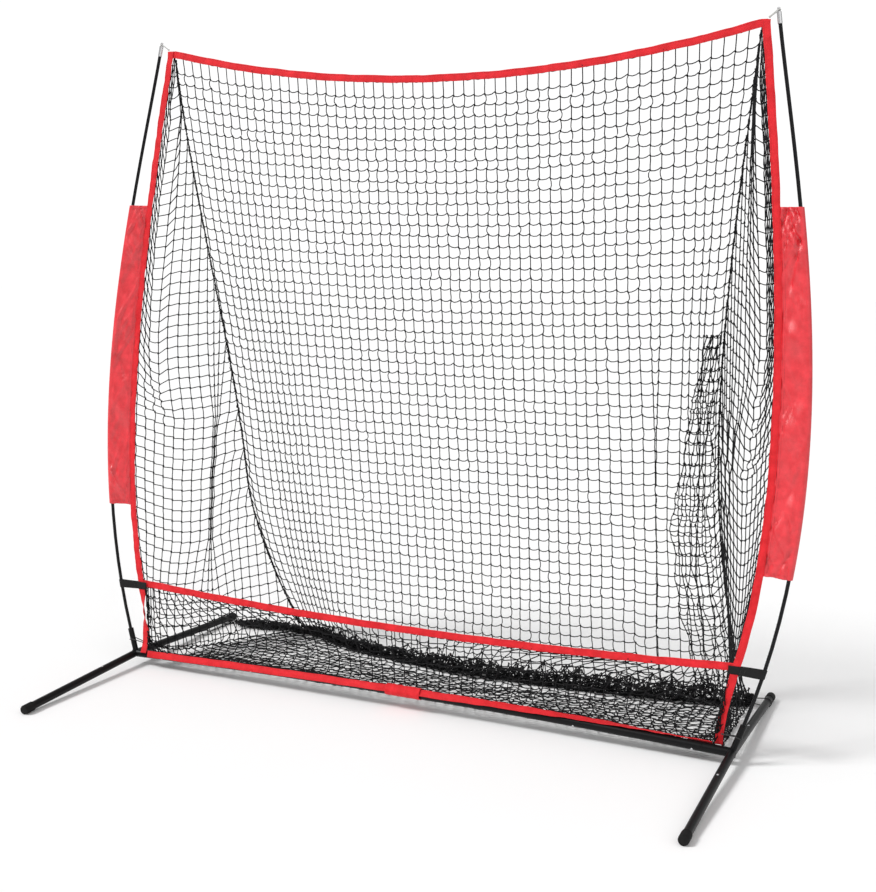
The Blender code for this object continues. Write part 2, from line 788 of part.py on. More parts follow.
def seam_point(side, share):
    """The seam of back and side panel: share 0 at the ground, 1 at the top corner."""
    end_gap = 0.020
    behind = 0.012
    z = end_gap + (NET_TOP - 2 * end_gap) * share
    fall = 1 - share
    x = SEAM_CORNER_X - SEAM_PINCH * abs(math.sin(math.pi * fall**1.5)) ** 0.7
    top_depth = lean_y(NET_TOP) + behind
    foot_depth = BASE_Y + REAR_HOOK_REACH + behind
    y = top_depth + (foot_depth - top_depth) * (fall**1.35 + fall**3 * (1 - fall))
    return Vector((side * x, y, z))


def make_back_panel():
    """The back of the bag, hanging from the top band and sagging at its foot."""
    rows = []
    for share in steps_between(0.0, 1.0, 10):
        edge = seam_point(1, share)
        row = []
        for across in steps_between(-1.0, 1.0, 9):
            crown = 1 - across * across
            x = (edge.x - NET_GAP) * across
            y = edge.y - FOLD_BOW * crown * (1 - share) ** 2
            z = edge.z - TOP_SAG * crown * share**3
            row.append((x, y, z))
        rows.append(row)
    sheet("net_back", rows, NET_THICKNESS, TWINE)


def make_side_panel(label, side):
    """One wing of the bag, from the side trim back to the seam."""
    highest = 0.985
    rows = []
    for share in steps_between(0.0, highest, 12):
        rear = seam_point(side, share)
        z = rear.z + (TRIM_BOTTOM - rear.z) * (1 - share) ** 6
        level = min(z, NET_TOP)
        front_x = trim_x(level) - TRIM_WIDTH / 2 - NET_GAP
        front_y = lean_y(level, FRONT_OFFSET) + NET_GAP + abs(trim_shift(side, level))
        front = Vector((side * front_x, front_y, z))
        rear = rear + Vector((side * 2, -2, 0)) * NET_THICKNESS
        row = [front.lerp(rear, t) for t in (0.0, 0.25, 0.5, 0.75, 1.0)]
        rows.append(row if side < 0 else row[::-1])
    sheet("net_side_" + label, rows, NET_THICKNESS, TWINE)


def make_floor_panel():
    """The foot of the bag, from the bottom band down and back along the ground."""
    half_width = 0.962
    ground = 0.0045
    drop = 0.040
    rows = []
    for across in steps_between(-1.0, 1.0, 11):
        crown = 1 - across * across
        x = half_width * across
        front_y = BASE_Y + CROSS_RADIUS + 0.010
        rear_y = BASE_Y + REAR_HOOK_REACH - FOLD_BOW * crown - NET_THICKNESS
        row = []
        for share in steps_between(0.0, 1.0, 7):
            y = front_y + (rear_y - front_y) * share
            z = ground + drop * (1 - share) ** 5
            row.append((x, y, z))
        rows.append(row)
    sheet("net_floor", rows, NET_THICKNESS, TWINE)


def make_front_lip():
    """The low front of the pocket, between the bottom and the middle band."""
    half_width = 0.975
    behind_foot = 0.022
    rows = []
    for across in steps_between(-1.0, 1.0, 11):
        crown = 1 - across * across
        x = half_width * across
        top_z = BAND_HEIGHT - BAND_SAG * crown - TRIM_WIDTH / 2 - 0.004
        low_z = BRACKET_HEIGHT + arch(x) + CROSS_RADIUS + 0.014
        row = []
        for share in steps_between(0.0, 1.0, 4):
            z = low_z + (top_z - low_z) * share
            y = lean_y(z, FRONT_OFFSET) + behind_foot * (1 - share)
            row.append((x, y, z))
        rows.append(row)
    sheet("net_front_lip", rows, NET_THICKNESS, TWINE)


# -------------------------------------------------------------------------- loops


def ring_points(centre, axis, target, radius):
    """A loop round a bar at centre, drawn out to a point at target."""
    axis = Vector(axis).normalized()
    toward = target - centre
    out = toward - axis * axis.dot(toward)
    out.normalize()
    across = axis.cross(out)
    points = []
    open_from, open_to = 70, 290
    for angle in steps_between(open_from, open_to, 10):
        turn = math.radians(angle)
        points.append(centre + (out * math.cos(turn) + across * math.sin(turn)) * radius)
    for offset in (-LOOP_SPREAD, LOOP_SPREAD):
        points.append(target + across * radius * offset)
    return points


def make_loops(label, side):
    """The elastic loops that hold the bag's corners to the frame."""
    knob = pole_point(side, ROD_TOP) + pole_tangent(side, ROD_TOP) * TIP_WAIST
    corner = Vector((side * TOP_CORNER_X, lean_y(NET_TOP, FRONT_OFFSET), NET_TOP + TRIM_HEAD))
    target = corner + (knob - corner).normalized() * (TRIM_WIDTH / 2 + 2 * LOOP_RADIUS)
    points = ring_points(knob, pole_tangent(side, ROD_TOP), target, WAIST_RADIUS + GAP + LOOP_RADIUS)
    rod("corner_loop_top_" + label, points, LOOP_RADIUS, WHITE_ELASTIC, cyclic=True, resolution=2)

    on_socket = bracket_centre(side) + socket_direction(side) * SOCKET_LOOP_REACH
    corner = Vector((side * TRIM_BOTTOM_X, trim_y(side, TRIM_BOTTOM), TRIM_BOTTOM))
    target = corner + (on_socket - corner).normalized() * (TRIM_WIDTH / 2 + 2 * LOOP_RADIUS)
    points = ring_points(on_socket, socket_direction(side), target, SOCKET_RADIUS + GAP + LOOP_RADIUS)
    rod("corner_loop_bottom_" + label, points, LOOP_RADIUS, BLACK_WEBBING, cyclic=True, resolution=2)

    matrix = leg_frame(side, 1, REAR_REACH)
    on_leg = matrix @ Vector((0, 0, REAR_HOOK_REACH))
    along = matrix.to_3x3() @ Vector((0, 0, 1))
    target = on_leg - Vector((side * REAR_LOOP_LENGTH, 0, 0))
    points = ring_points(on_leg, along, target, LEG_RADIUS + GAP + LOOP_RADIUS)
    rod("corner_loop_rear_" + label, points, LOOP_RADIUS, BLACK_WEBBING, cyclic=True, resolution=2)


def main():
    make_base()
    make_bands()
    make_centre_wrap()
    make_back_panel()
    make_floor_panel()
    make_front_lip()
    for label, side in SIDES.items():
        make_pole(label, side)
        make_side_trim(label, side)
        make_sleeve(label, side)
        make_strap(label, side)
        make_side_panel(label, side)
        make_loops(label, side)


main()
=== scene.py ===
"""The looks of a pitching target net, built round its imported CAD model.

Metres, +Z up. The mouth of the net faces -Y, and its left side is at negative x.
"""

import math

import bpy
import numpy as np
from mathutils import Matrix, Vector


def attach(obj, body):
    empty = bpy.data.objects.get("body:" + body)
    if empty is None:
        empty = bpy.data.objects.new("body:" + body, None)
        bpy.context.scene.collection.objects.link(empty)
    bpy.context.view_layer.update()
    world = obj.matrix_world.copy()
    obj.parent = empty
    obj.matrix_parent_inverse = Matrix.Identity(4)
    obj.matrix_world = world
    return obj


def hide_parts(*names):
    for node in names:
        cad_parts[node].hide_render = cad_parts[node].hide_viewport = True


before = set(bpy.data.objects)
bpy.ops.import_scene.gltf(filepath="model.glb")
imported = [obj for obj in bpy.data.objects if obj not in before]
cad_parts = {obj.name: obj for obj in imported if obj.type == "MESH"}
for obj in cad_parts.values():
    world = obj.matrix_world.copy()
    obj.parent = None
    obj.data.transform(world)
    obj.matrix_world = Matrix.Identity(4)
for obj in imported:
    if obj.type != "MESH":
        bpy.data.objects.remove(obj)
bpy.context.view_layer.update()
draw = np.random.default_rng(7)

SIDES = {"left": -1, "right": 1}
UP = np.array((0.0, 0.0, 1.0))

# -------------------- the shapes of the CAD part

# Base frame
HALF_WIDTH = 1.041  # from the middle to a corner bracket's axis
BRACKET_HEIGHT = 0.0403
REAR_REACH = 0.603  # from a bracket to the middle of the rear foot cap
LEG_AXIS_LOW = 0.0139  # the height of a rear leg's axis at its foot
BASE_Y = -0.0255  # the cross tube's axis
TUBE_ARCH = 0.018
LEG_RADIUS = 0.0125
CROSS_RADIUS = 0.014

# Poles
LEAN = 0.195 / 2.13  # how far the poles lean back for each metre of height
POLE_RADIUS = 0.0055
SOCKET_SLOPE = 0.34
SOCKET_RADIUS = 0.0095
STRAIGHT_HEIGHT = 0.080  # above its bracket a pole runs straight this far, then bows
POLE_TOP = 2.130
POLE_TIP_X = 1.029
BOW_LOWER = 0.75  # height of the lower handle of the pole's curve above its start
BOW_UPPER = 0.45  # the same for the upper handle, below the tip
TIP_SLOPE = -0.16
ROD_TOP = POLE_TOP - 0.016
TIP_WAIST = 0.0088  # the middle of the tip's waist above the rod's end
WAIST_RADIUS = 0.0030

# Net bag and its tapes
NET_TOP = 2.090
TOP_CORNER_X = 0.997
TOP_SAG = 0.114
BAND_HEIGHT = 0.284
BAND_SAG = 0.030
BAND_CORNER_X = 1.036
BAND_CLEARANCE = 0.005
BAND_SLOPE = 0.25
BOTTOM_BAND_ANGLES = (18.0, 128.0)  # left and right, round the cross tube from the front
BOTTOM_BAND_TURN = 2.6
TRIM_WIDTH = 0.023
TRIM_BOTTOM = 0.082
TRIM_BOTTOM_X = 0.998
TRIM_BOW_LOWER = 0.45
TRIM_BOW_UPPER = 0.70
TRIM_TOP_SLOPE = -0.14
TRIM_FOOT_SHIFT = 0.014
TRIM_INNER = 0.011  # from a side tape's middle to the net sewn to it
SEWN_BEHIND = 0.0036  # from a tape's middle back to the net sewn to it
NET_UNDER_BAND = 0.006  # from a level tape's middle down to the net sewn to it
FRONT_OFFSET = 0.0045
SEAM_CORNER_X = 0.982
SEAM_PINCH = 0.108
SEAM_END = 0.020  # the seams stop this far short of the ground and the top
SEAM_BEHIND = 0.012
REAR_HOOK_REACH = 0.545

# Loops, sleeves, straps and wrap
LOOP_RADIUS = 0.0016
TOUCHING = 0.0003  # between a loop and what it goes round
SOCKET_LOOP_REACH = 0.050
SLEEVE_TOP = 1.585
SLEEVE_BOTTOM = 0.553
SLEEVE_RADIUS = 0.0105
STRAP_WIDTH = 0.025
STRAP_HEIGHT = 0.276
WEBBING = 0.0016
WRAP_LENGTH = 0.120
WRAP_LEAN = math.radians(50)  # the bottom tape passes under its upper front

# The bag's left foot, which is drawn in, and the ground
LEFT_FOOT_IN = 0.25  # how far further in the left seam stands at the ground
LEFT_FOOT_SHARE = 0.29  # from this share of the height down
LEFT_FOOT_BACK = 0.040
LEFT_FOOT_BOW = 0.055
GROUND = 0.0030  # the lowest that a strand's middle lies


def unit(vectors):
    """Vectors of length one, over an array's last axis."""
    return vectors / np.maximum(np.linalg.norm(vectors, axis=-1, keepdims=True), 1e-12)


def bezier(p0, p1, p2, p3, steps=400):
    """Points along a cubic curve, each an x and a height."""
    t = np.linspace(0, 1, steps)[:, None]
    p0, p1, p2, p3 = np.array(p0), np.array(p1), np.array(p2), np.array(p3)
    return p0 * (1 - t) ** 3 + 3 * p1 * t * (1 - t) ** 2 + 3 * p2 * t**2 * (1 - t) + p3 * t**3


def lean_y(z, offset=0.0):
    return BASE_Y + LEAN * z + offset


def arch(x):
    return TUBE_ARCH * (1 - (x / HALF_WIDTH) ** 2)


def bracket(side):
    return np.array((side * HALF_WIDTH, BASE_Y, BRACKET_HEIGHT))


def rear_hook(side):
    """The point on a rear leg's axis that the bag's corner is hooked to, and the axis."""
    axis = unit(np.array((0, 1, (LEG_AXIS_LOW - BRACKET_HEIGHT) / REAR_REACH)))
    return bracket(side) + axis * REAR_HOOK_REACH, axis


BOW_START = STRAIGHT_HEIGHT + BOW_LOWER
POLE_CURVE = bezier(
    (HALF_WIDTH + SOCKET_SLOPE * STRAIGHT_HEIGHT, BRACKET_HEIGHT + STRAIGHT_HEIGHT),
    (HALF_WIDTH + SOCKET_SLOPE * BOW_START, BRACKET_HEIGHT + BOW_START),
    (POLE_TIP_X - TIP_SLOPE * BOW_UPPER, POLE_TOP - BOW_UPPER),
    (POLE_TIP_X, POLE_TOP),
)
TRIM_CURVE = bezier(
    (BAND_CORNER_X, BAND_HEIGHT),
    (BAND_CORNER_X + BAND_SLOPE * TRIM_BOW_LOWER, BAND_HEIGHT + TRIM_BOW_LOWER),
    (TOP_CORNER_X - TRIM_TOP_SLOPE * TRIM_BOW_UPPER, NET_TOP - TRIM_BOW_UPPER),
    (TOP_CORNER_X, NET_TOP),
)


def pole_x(z):
    straight = HALF_WIDTH + SOCKET_SLOPE * (z - BRACKET_HEIGHT)
    bowed = np.interp(z, POLE_CURVE[:, 1], POLE_CURVE[:, 0])
    return np.where(z < POLE_CURVE[0, 1], straight, bowed)


def pole_y(z):
    return lean_y(z) - LEAN * BRACKET_HEIGHT


def trim_x(z):
    """Distance of a side tape's middle from the middle of the mouth."""
    share = np.clip((z - TRIM_BOTTOM) / (BAND_HEIGHT - TRIM_BOTTOM), 0, 1)
    low = TRIM_BOTTOM_X + (BAND_CORNER_X - TRIM_BOTTOM_X) * share**1.3
    return np.where(z <= BAND_HEIGHT, low, np.interp(z, TRIM_CURVE[:, 1], TRIM_CURVE[:, 0]))


def trim_y(side, z):
    """The left tape's foot passes in front of the cross tube, the right one behind."""
    share = np.maximum(0, 1 - (z - TRIM_BOTTOM) / (BAND_HEIGHT - TRIM_BOTTOM))
    return lean_y(z, FRONT_OFFSET) + TRIM_FOOT_SHIFT * side * share


def band_half(corner):
    """Half the length of a level tape that ends just inside the side tapes."""
    return corner - TRIM_WIDTH / 2 - BAND_CLEARANCE


def band_z(x, half_length, height, sag):
    return height - sag * (1 - (x / half_length) ** 2)


def band_degrees(x):
    """How far round the cross tube the bottom tape lies, from its front."""
    half = band_half(TRIM_BOTTOM_X)
    left, right = BOTTOM_BAND_ANGLES
    share = np.clip((x + half) / (2 * half), 0, 1)
    return left + (right - left) * share**BOTTOM_BAND_TURN


def seam(side, share):
    """The seam of the back and a side panel: share 0 at the ground, 1 at the top corner."""
    fall = 1 - share
    top_depth = lean_y(NET_TOP) + SEAM_BEHIND
    foot_depth = BASE_Y + REAR_HOOK_REACH + SEAM_BEHIND
    x = SEAM_CORNER_X - SEAM_PINCH * np.abs(np.sin(math.pi * fall**1.5)) ** 0.7
    y = top_depth + (foot_depth - top_depth) * (fall**1.35 + fall**3 * (1 - fall))
    if side < 0:
        x = x - LEFT_FOOT_IN * np.maximum(0, 1 - share / LEFT_FOOT_SHARE) ** 1.8
        y = y + LEFT_FOOT_BACK * fall**8
    z = SEAM_END + (NET_TOP - 2 * SEAM_END) * share
    return np.stack([side * x, y, z], -1)


def foot_line(side, share):
    """A side panel's lower edge on the ground: share 0 at the side tape, 1 at the rear corner."""
    rear = seam(side, 0.0)
    front = TRIM_BOTTOM_X - TRIM_INNER
    bow = LEFT_FOOT_BOW if side < 0 else 0.0
    x = front + (abs(rear[0]) - front) * share + bow * np.sin(math.pi * share)
    y = trim_y(side, TRIM_BOTTOM) + 0.004
    y = y + (rear[1] - y) * share
    z = GROUND + 0.003 + (TRIM_BOTTOM - GROUND) * (1 - share) ** 5
    return np.stack(np.broadcast_arrays(side * x, y, z), -1)


# -------------------- making of meshes

UNEVEN = np.array((0.36, -0.21, 0.91))  # a direction that no strand or thread follows


def tubes(paths, radius, sides):
    """Closed tubes along paths of equal numbers of points: points, loops and face sizes."""
    count, steps, _ = paths.shape
    along = unit(np.gradient(paths, axis=1))
    aside = unit(np.cross(along, UNEVEN))
    above = np.cross(along, aside)
    turn = math.tau * np.arange(sides)[:, None] / sides
    ring = aside[:, :, None] * np.cos(turn) + above[:, :, None] * np.sin(turn)
    radius = np.broadcast_to(radius, (count, steps))[:, :, None, None]
    points = (paths[:, :, None] + ring * radius).reshape(-1, 3)
    index = np.arange(len(points)).reshape(count, steps, sides)
    walls = quads(index[:, :-1], index[:, 1:], 2).reshape(-1)
    caps = np.concatenate([index[:, 0, ::-1].reshape(-1), index[:, -1].reshape(-1)])
    sizes = [4] * (len(walls) // 4) + [sides] * (2 * count)
    return points, np.concatenate([walls, caps]), np.array(sizes)


def quads(here, there, axis):
    """Faces between two sets of rings, each ring closed along an axis."""
    return np.stack([here, np.roll(here, -1, axis), np.roll(there, -1, axis), there], -1)


def loft(rings, wrap=False):
    """A closed surface through rings. Wrapped, its last ring meets its first."""
    count, around, _ = rings.shape
    points = rings.reshape(-1, 3)
    index = np.arange(len(points)).reshape(count, around)
    here = index if wrap else index[:-1]
    there = np.roll(index, -1, 0) if wrap else index[1:]
    walls = quads(here, there, 1).reshape(-1, 4)
    corner = [points[walls[:, n]] for n in range(4)]
    volume = sum((corner[0] * np.cross(corner[n], corner[n + 1])).sum() for n in (1, 2))
    ends = np.zeros((0, around), int) if wrap else np.stack([index[0, ::-1], index[-1]])
    if volume < 0:
        walls, ends = walls[:, ::-1], ends[:, ::-1]
    sizes = [4] * len(walls) + [around] * len(ends)
    return points, np.concatenate([walls.reshape(-1), ends.reshape(-1)]), np.array(sizes)


def merged(parts):
    """Several meshes as one."""
    points, loops, sizes = zip(*parts)
    shifts = np.cumsum([0] + [len(part) for part in points[:-1]])
    loops = [part + shift for part, shift in zip(loops, shifts)]
    return np.concatenate(points), np.concatenate(loops), np.concatenate(sizes)


def piece(name, data, material, stands_for=(), cloth=None):
    """A piece of the frame's body. cloth is a UV for each of its points, in metres."""
    points, loops, sizes = data
    mesh = bpy.data.meshes.new(name)
    mesh.vertices.add(len(points))
    mesh.vertices.foreach_set("co", points.astype(np.float32).reshape(-1))
    mesh.loops.add(len(loops))
    mesh.loops.foreach_set("vertex_index", loops.astype(np.int32))
    mesh.polygons.add(len(sizes))
    starts = np.concatenate([[0], np.cumsum(sizes)[:-1]])
    mesh.polygons.foreach_set("loop_start", starts.astype(np.int32))
    mesh.update(calc_edges=True)
    mesh.validate()
    mesh.polygons.foreach_set("use_smooth", np.ones(len(mesh.polygons), bool))
    if cloth is not None:
        layer = mesh.uv_layers.new(name="cloth")
        layer.data.foreach_set("uv", cloth.reshape(-1, 2)[loops].astype(np.float32).reshape(-1))
    mesh.materials.append(material)
    made = bpy.data.objects.new(name, mesh)
    bpy.context.scene.collection.objects.link(made)
    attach(made, "frame")
    if stands_for:
        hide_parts(*stands_for)
    return made


def uv_grid(first, second):
    """UVs over a grid of points, from two arrays that broadcast to it."""
    return np.stack(np.broadcast_arrays(first, second), -1)


def waves(places, wavelengths, height):
    """A smooth uneven line: sines of the given wavelengths with drawn phases."""
    total = np.zeros_like(places)
    for wavelength in wavelengths:
        total += np.sin(math.tau * places / wavelength + draw.uniform(0, math.tau))
    return total * height / math.sqrt(len(wavelengths))


def lengths_along(path):
    steps = np.linalg.norm(np.diff(path, axis=0), axis=1)
    return np.concatenate([[0], np.cumsum(steps)])


def at_lengths(wanted, along, values):
    """Values of a line at the wanted lengths along it."""
    return np.stack([np.interp(wanted, along, values[:, n]) for n in range(3)], -1)


def respaced(path, spacing):
    """The same line with points about spacing apart."""
    along = lengths_along(path)
    wanted = np.linspace(0, along[-1], max(2, int(along[-1] / spacing) + 1))
    return at_lengths(wanted, along, path)


# -------------------- materials

RIBS_IN_SCALE = 3.2  # ribs to the metre for each unit of a wave texture's scale


def new_material(name, colour, roughness, metallic=0.0, sheen=0.0, specular=0.5):
    """A material with its node tree to add to, and its shader."""
    material = bpy.data.materials.new(name)
    material.use_nodes = True
    tree = material.node_tree
    shader = tree.nodes["Principled BSDF"]
    shader.inputs["Base Color"].default_value = (*colour, 1)
    shader.inputs["Roughness"].default_value = roughness
    shader.inputs["Metallic"].default_value = metallic
    shader.inputs["Sheen Weight"].default_value = sheen
    shader.inputs["Sheen Roughness"].default_value = 0.4
    shader.inputs["Specular IOR Level"].default_value = specular
    return material, tree, shader


def add_node(tree, kind, inputs=(), **settings):
    """A node with its settings, and its inputs given as values or linked from sockets."""
    node = tree.nodes.new(kind)
    for key, value in settings.items():
        setattr(node, key, value)
    for key, value in dict(inputs).items():
        if isinstance(value, bpy.types.NodeSocket):
            tree.links.new(value, node.inputs[key])
        else:
            node.inputs[key].default_value = value
    return node


def mapped(tree, place, stretch):
    return add_node(tree, "ShaderNodeMapping", {"Vector": place, "Scale": stretch}).outputs["Vector"]


def cloth_place(tree):
    place = add_node(tree, "ShaderNodeUVMap", uv_map="cloth").outputs["UV"]
    return mapped(tree, place, (1, 1, 1))


def noise(tree, scale, detail, roughness=0.5, stretch=(1, 1, 1)):
    """A value that wanders from place to place over an object."""
    place = mapped(tree, add_node(tree, "ShaderNodeTexCoord").outputs["Object"], stretch)
    inputs = {"Vector": place, "Scale": scale, "Detail": detail, "Roughness": roughness}
    return add_node(tree, "ShaderNodeTexNoise", inputs).outputs["Fac"]


def math_node(tree, operation, first, second):
    return add_node(tree, "ShaderNodeMath", {0: first, 1: second}, operation=operation).outputs[0]


def spread(tree, value, low, high):
    """A value from 0 to 1 as a value from low to high."""
    inputs = {"Value": value, "To Min": low, "To Max": high}
    return add_node(tree, "ShaderNodeMapRange", inputs).outputs["Result"]


def colour_between(tree, shader, factor, low, high):
    """Base colour that runs from low to high."""
    ramp = add_node(tree, "ShaderNodeValToRGB", {"Fac": factor})
    for element, position, colour in zip(ramp.color_ramp.elements, (0.3, 0.7), (low, high)):
        element.position = position
        element.color = (*colour, 1)
    tree.links.new(ramp.outputs["Color"], shader.inputs["Base Color"])


def roughness_between(tree, shader, factor, low, high):
    tree.links.new(spread(tree, factor, low, high), shader.inputs["Roughness"])


def bump(tree, shader, height, distance, strength):
    inputs = {"Height": height, "Distance": distance, "Strength": strength}
    normal = add_node(tree, "ShaderNodeBump", inputs).outputs["Normal"]
    tree.links.new(normal, shader.inputs["Normal"])


def stripes(tree, place, direction, scale):
    """Ribs across a direction."""
    inputs = {"Vector": place, "Scale": scale, "Distortion": 0.6, "Detail": 1.0, "Detail Scale": 2.0}
    return add_node(tree, "ShaderNodeTexWave", inputs, bands_direction=direction).outputs["Fac"]


def woven(name, low, high, ribs, depth, roughness, sheen, specular=0.3):
    """Woven cloth with uneven dye. ribs are those of its weft and its warp, to the metre."""
    material, tree, shader = new_material(name, high, roughness, sheen=sheen, specular=specular)
    place = cloth_place(tree)
    weft = stripes(tree, place, "Y", ribs[0] / RIBS_IN_SCALE)
    warp = stripes(tree, place, "X", ribs[1] / RIBS_IN_SCALE)
    threads = math_node(tree, "MULTIPLY", weft, warp)
    blotches = noise(tree, 38.0, 4.0, 0.6)
    fine = math_node(tree, "MULTIPLY", threads, 0.25)
    coarse = math_node(tree, "MULTIPLY", blotches, 0.8)
    colour_between(tree, shader, math_node(tree, "ADD", fine, coarse), low, high)
    roughness_between(tree, shader, blotches, roughness - 0.08, roughness + 0.10)
    bump(tree, shader, threads, depth, 0.7)
    return material


def grained(base, tones, shine, tone, grain, relief):
    """A material whose tone and shine wander under a fine grain.

    base is what new_material takes. tones are its darkest and lightest colour, shine its least
    and most roughness, tone and grain what noise takes, relief the grain's depth and strength.
    """
    material, tree, shader = new_material(**base)
    wander = noise(tree, *tone)
    colour_between(tree, shader, wander, *tones)
    roughness_between(tree, shader, wander, *shine)
    bump(tree, shader, noise(tree, *grain), *relief)
    return material


def painted_steel():
    """Black powder coat: a fine orange-peel skin with faint scuffs."""
    base = dict(name="black_paint", colour=(0.006, 0.006, 0.007), roughness=0.4, specular=0.16)
    tones = ((0.003, 0.003, 0.003), (0.008, 0.008, 0.009))
    scuffs = (4.0, 5.0, 0.7, (60, 9, 60))
    peel = (900.0, 2.0)
    return grained(base, tones, (0.26, 0.44), scuffs, peel, (0.0002, 0.5))


def moulded_rubber():
    """Dull rubber with a matt grain and dust."""
    base = dict(name="black_rubber", colour=(0.008, 0.008, 0.008), roughness=0.7, specular=0.15)
    tones = ((0.006, 0.006, 0.006), (0.016, 0.016, 0.016))
    dust = (45.0, 5.0, 0.65)
    grain = (1400.0, 3.0)
    return grained(base, tones, (0.62, 0.85), dust, grain, (0.0003, 0.6))


def fibreglass():
    """Pultruded rod: glossy, with fine streaks along its length."""
    base = dict(name="black_fibreglass", colour=(0.006, 0.006, 0.007), roughness=0.25, specular=0.18)
    tones = ((0.003, 0.003, 0.004), (0.010, 0.010, 0.011))
    streaks = (1.0, 4.0, 0.6, (900, 900, 12))
    return grained(base, tones, (0.18, 0.36), streaks, streaks, (0.0001, 0.4))


def bright_metal(name="bright_metal", colour=(0.78, 0.78, 0.79), roughness=0.22):
    """Turned metal with fine rings round it and a few dull spots."""
    base = dict(name=name, colour=colour, roughness=roughness, metallic=1.0)
    tones = (tuple(channel * 0.82 for channel in colour), colour)
    shine = (roughness - 0.06, roughness + 0.14)
    spots = (260.0, 4.0, 0.6)
    rings = (1.0, 2.0, 0.5, (40, 40, 3000))
    return grained(base, tones, shine, spots, rings, (0.00005, 0.5))


def knotted_twine():
    """Black polyethylene twine: dull, with the bumps of its braid and a little dust."""
    base = dict(name="net_twine", colour=(0.004, 0.004, 0.005), roughness=0.7, specular=0.25)
    tones = ((0.002, 0.002, 0.003), (0.008, 0.008, 0.009))
    dust = (9.0, 5.0, 0.6)
    braid = (1600.0, 2.0)
    return grained(base, tones, (0.60, 0.80), dust, braid, (0.0004, 0.8))


def sewing_thread(name, colour):
    material, tree, shader = new_material(name, colour, 0.5, sheen=0.2)
    twist = noise(tree, 5000.0, 1.0)
    colour_between(tree, shader, twist, tuple(channel * 0.7 for channel in colour), colour)
    return material


def covered_elastic(name, low, high):
    """Braided cover of an elastic cord."""
    material, tree, shader = new_material(name, high, 0.65, sheen=0.3)
    place = cloth_place(tree)
    one_way = stripes(tree, place, "DIAGONAL", 330.0)
    braid = math_node(tree, "MULTIPLY", one_way, stripes(tree, place, "Y", 300.0))
    colour_between(tree, shader, braid, low, high)
    bump(tree, shader, braid, 0.0003, 0.8)
    return material


def red_tape():
    low, high = (0.64, 0.007, 0.013), (0.88, 0.022, 0.033)
    return woven("red_tape", low, high, (900, 1500), 0.0004, 0.60, 0.04)


def red_polyester():
    """The sleeves' satin."""
    low, high = (0.60, 0.005, 0.013), (0.86, 0.026, 0.042)
    return woven("red_polyester", low, high, (2600, 2600), 0.00012, 0.33, 0.05, 0.9)


def black_webbing():
    low, high = (0.003, 0.003, 0.003), (0.010, 0.010, 0.011)
    return woven("black_webbing", low, high, (700, 1200), 0.0006, 0.7, 0.02)


TAPE = red_tape()
POLYESTER = red_polyester()
WEBBING_CLOTH = black_webbing()
TWINE = knotted_twine()
RED_THREAD = sewing_thread("red_thread", (0.50, 0.015, 0.030))
BLACK_THREAD = sewing_thread("black_thread", (0.030, 0.030, 0.032))
PALE_ELASTIC = covered_elastic("pale_elastic_cord", (0.52, 0.52, 0.50), (0.85, 0.85, 0.83))
BLACK_ELASTIC = covered_elastic("black_elastic_cord", (0.006, 0.006, 0.006), (0.024, 0.024, 0.025))
PAINT = painted_steel()
RUBBER = moulded_rubber()
RODS = fibreglass()
BRIGHT = bright_metal()
SPRING = bright_metal("spring_steel", (0.62, 0.62, 0.64), 0.28)

HARD_PARTS = (  # the first that a CAD node's name starts with
    ("cross_tube", PAINT),
    ("corner_bracket", PAINT),
    ("leg_tube", PAINT),
    ("foot_cap", RUBBER),
    ("leg_button", SPRING),
    ("tube_button", SPRING),
    ("pole_tip", BRIGHT),
    ("pole_ferrule", SPRING),
    ("pole_", RODS),
)


def dress_hard_parts():
    """Materials for the CAD pieces that stay as they are."""
    for name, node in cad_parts.items():
        fitting = [material for start, material in HARD_PARTS if name.startswith(start)]
        if fitting:
            node.data.materials.clear()
            node.data.materials.append(fitting[0])
            node.data.shade_smooth()
            keep_edges(node)


def keep_edges(node):
    """Smooth shading that stays sharp at real edges."""
    weld = node.modifiers.new("weld", "WELD")
    weld.merge_threshold = 0.00001
    crisp = node.modifiers.new("crisp", "EDGE_SPLIT")
    crisp.split_angle = math.radians(38)


# -------------------- the knotted net

# Twine and knots
MESH_BAR = 0.0368  # from knot to knot
TWINE_RADIUS = 0.00168
KNOT_LENGTH = 0.0074
KNOT_RADIUS = 0.0028
BAR_STEPS = 4
TWINE_STIFFNESS = 0.62  # share of the full sag that a slack bar takes

# Settling
SETTLING = 900  # rounds
DROP = 0.0012  # how far gravity moves a knot in the first round, and ever less in later ones
LONG_DROP = 0.00022  # the same where many knots hang in a column
GROUND_SLIP = 0.15
NET_OFF_TUBE = 0.0022
BEHIND_TUBE = 1.7  # how far back the bag's foot slopes for each metre that it drops

# The bag: its back, the heap of slack at its fold and its floor
BACK_ROWS = 57
BACK_COLUMNS = 57
PILE_ROWS = 22
FLOOR_ROWS = 21
HEAPED = BACK_ROWS + PILE_ROWS
BAG_ROWS = HEAPED + FLOOR_ROWS
FOLD_BOW = 0.13  # how far the middle of the back's foot stands forward of its ends
CROWD_WIDTH = {"left": 0.30, "right": 0.115}  # beside each seam, where the back's slack gathers
CROWD_DEPTH = 0.016
CROWD_COLUMNS = 10
CROWD_STRAY = 0.022
PILE_HEIGHT = 0.072
PILE_SHIFT = -0.030  # the heap lies a little in front of the fold
RIPPLE_HEIGHT = 0.012
TAUT_ROWS = 4  # the bag's foot is drawn tight from the cross tube down to the ground
TAUT_BAR = 0.027
BACK_FOLDS = (((48, 53), (20, 57)), ((0,), (24, 57)))  # columns and rows
FOLD_BAR = 0.0040  # how far apart the knots in a fold stay
FOLD_CLOSING = 14  # rows

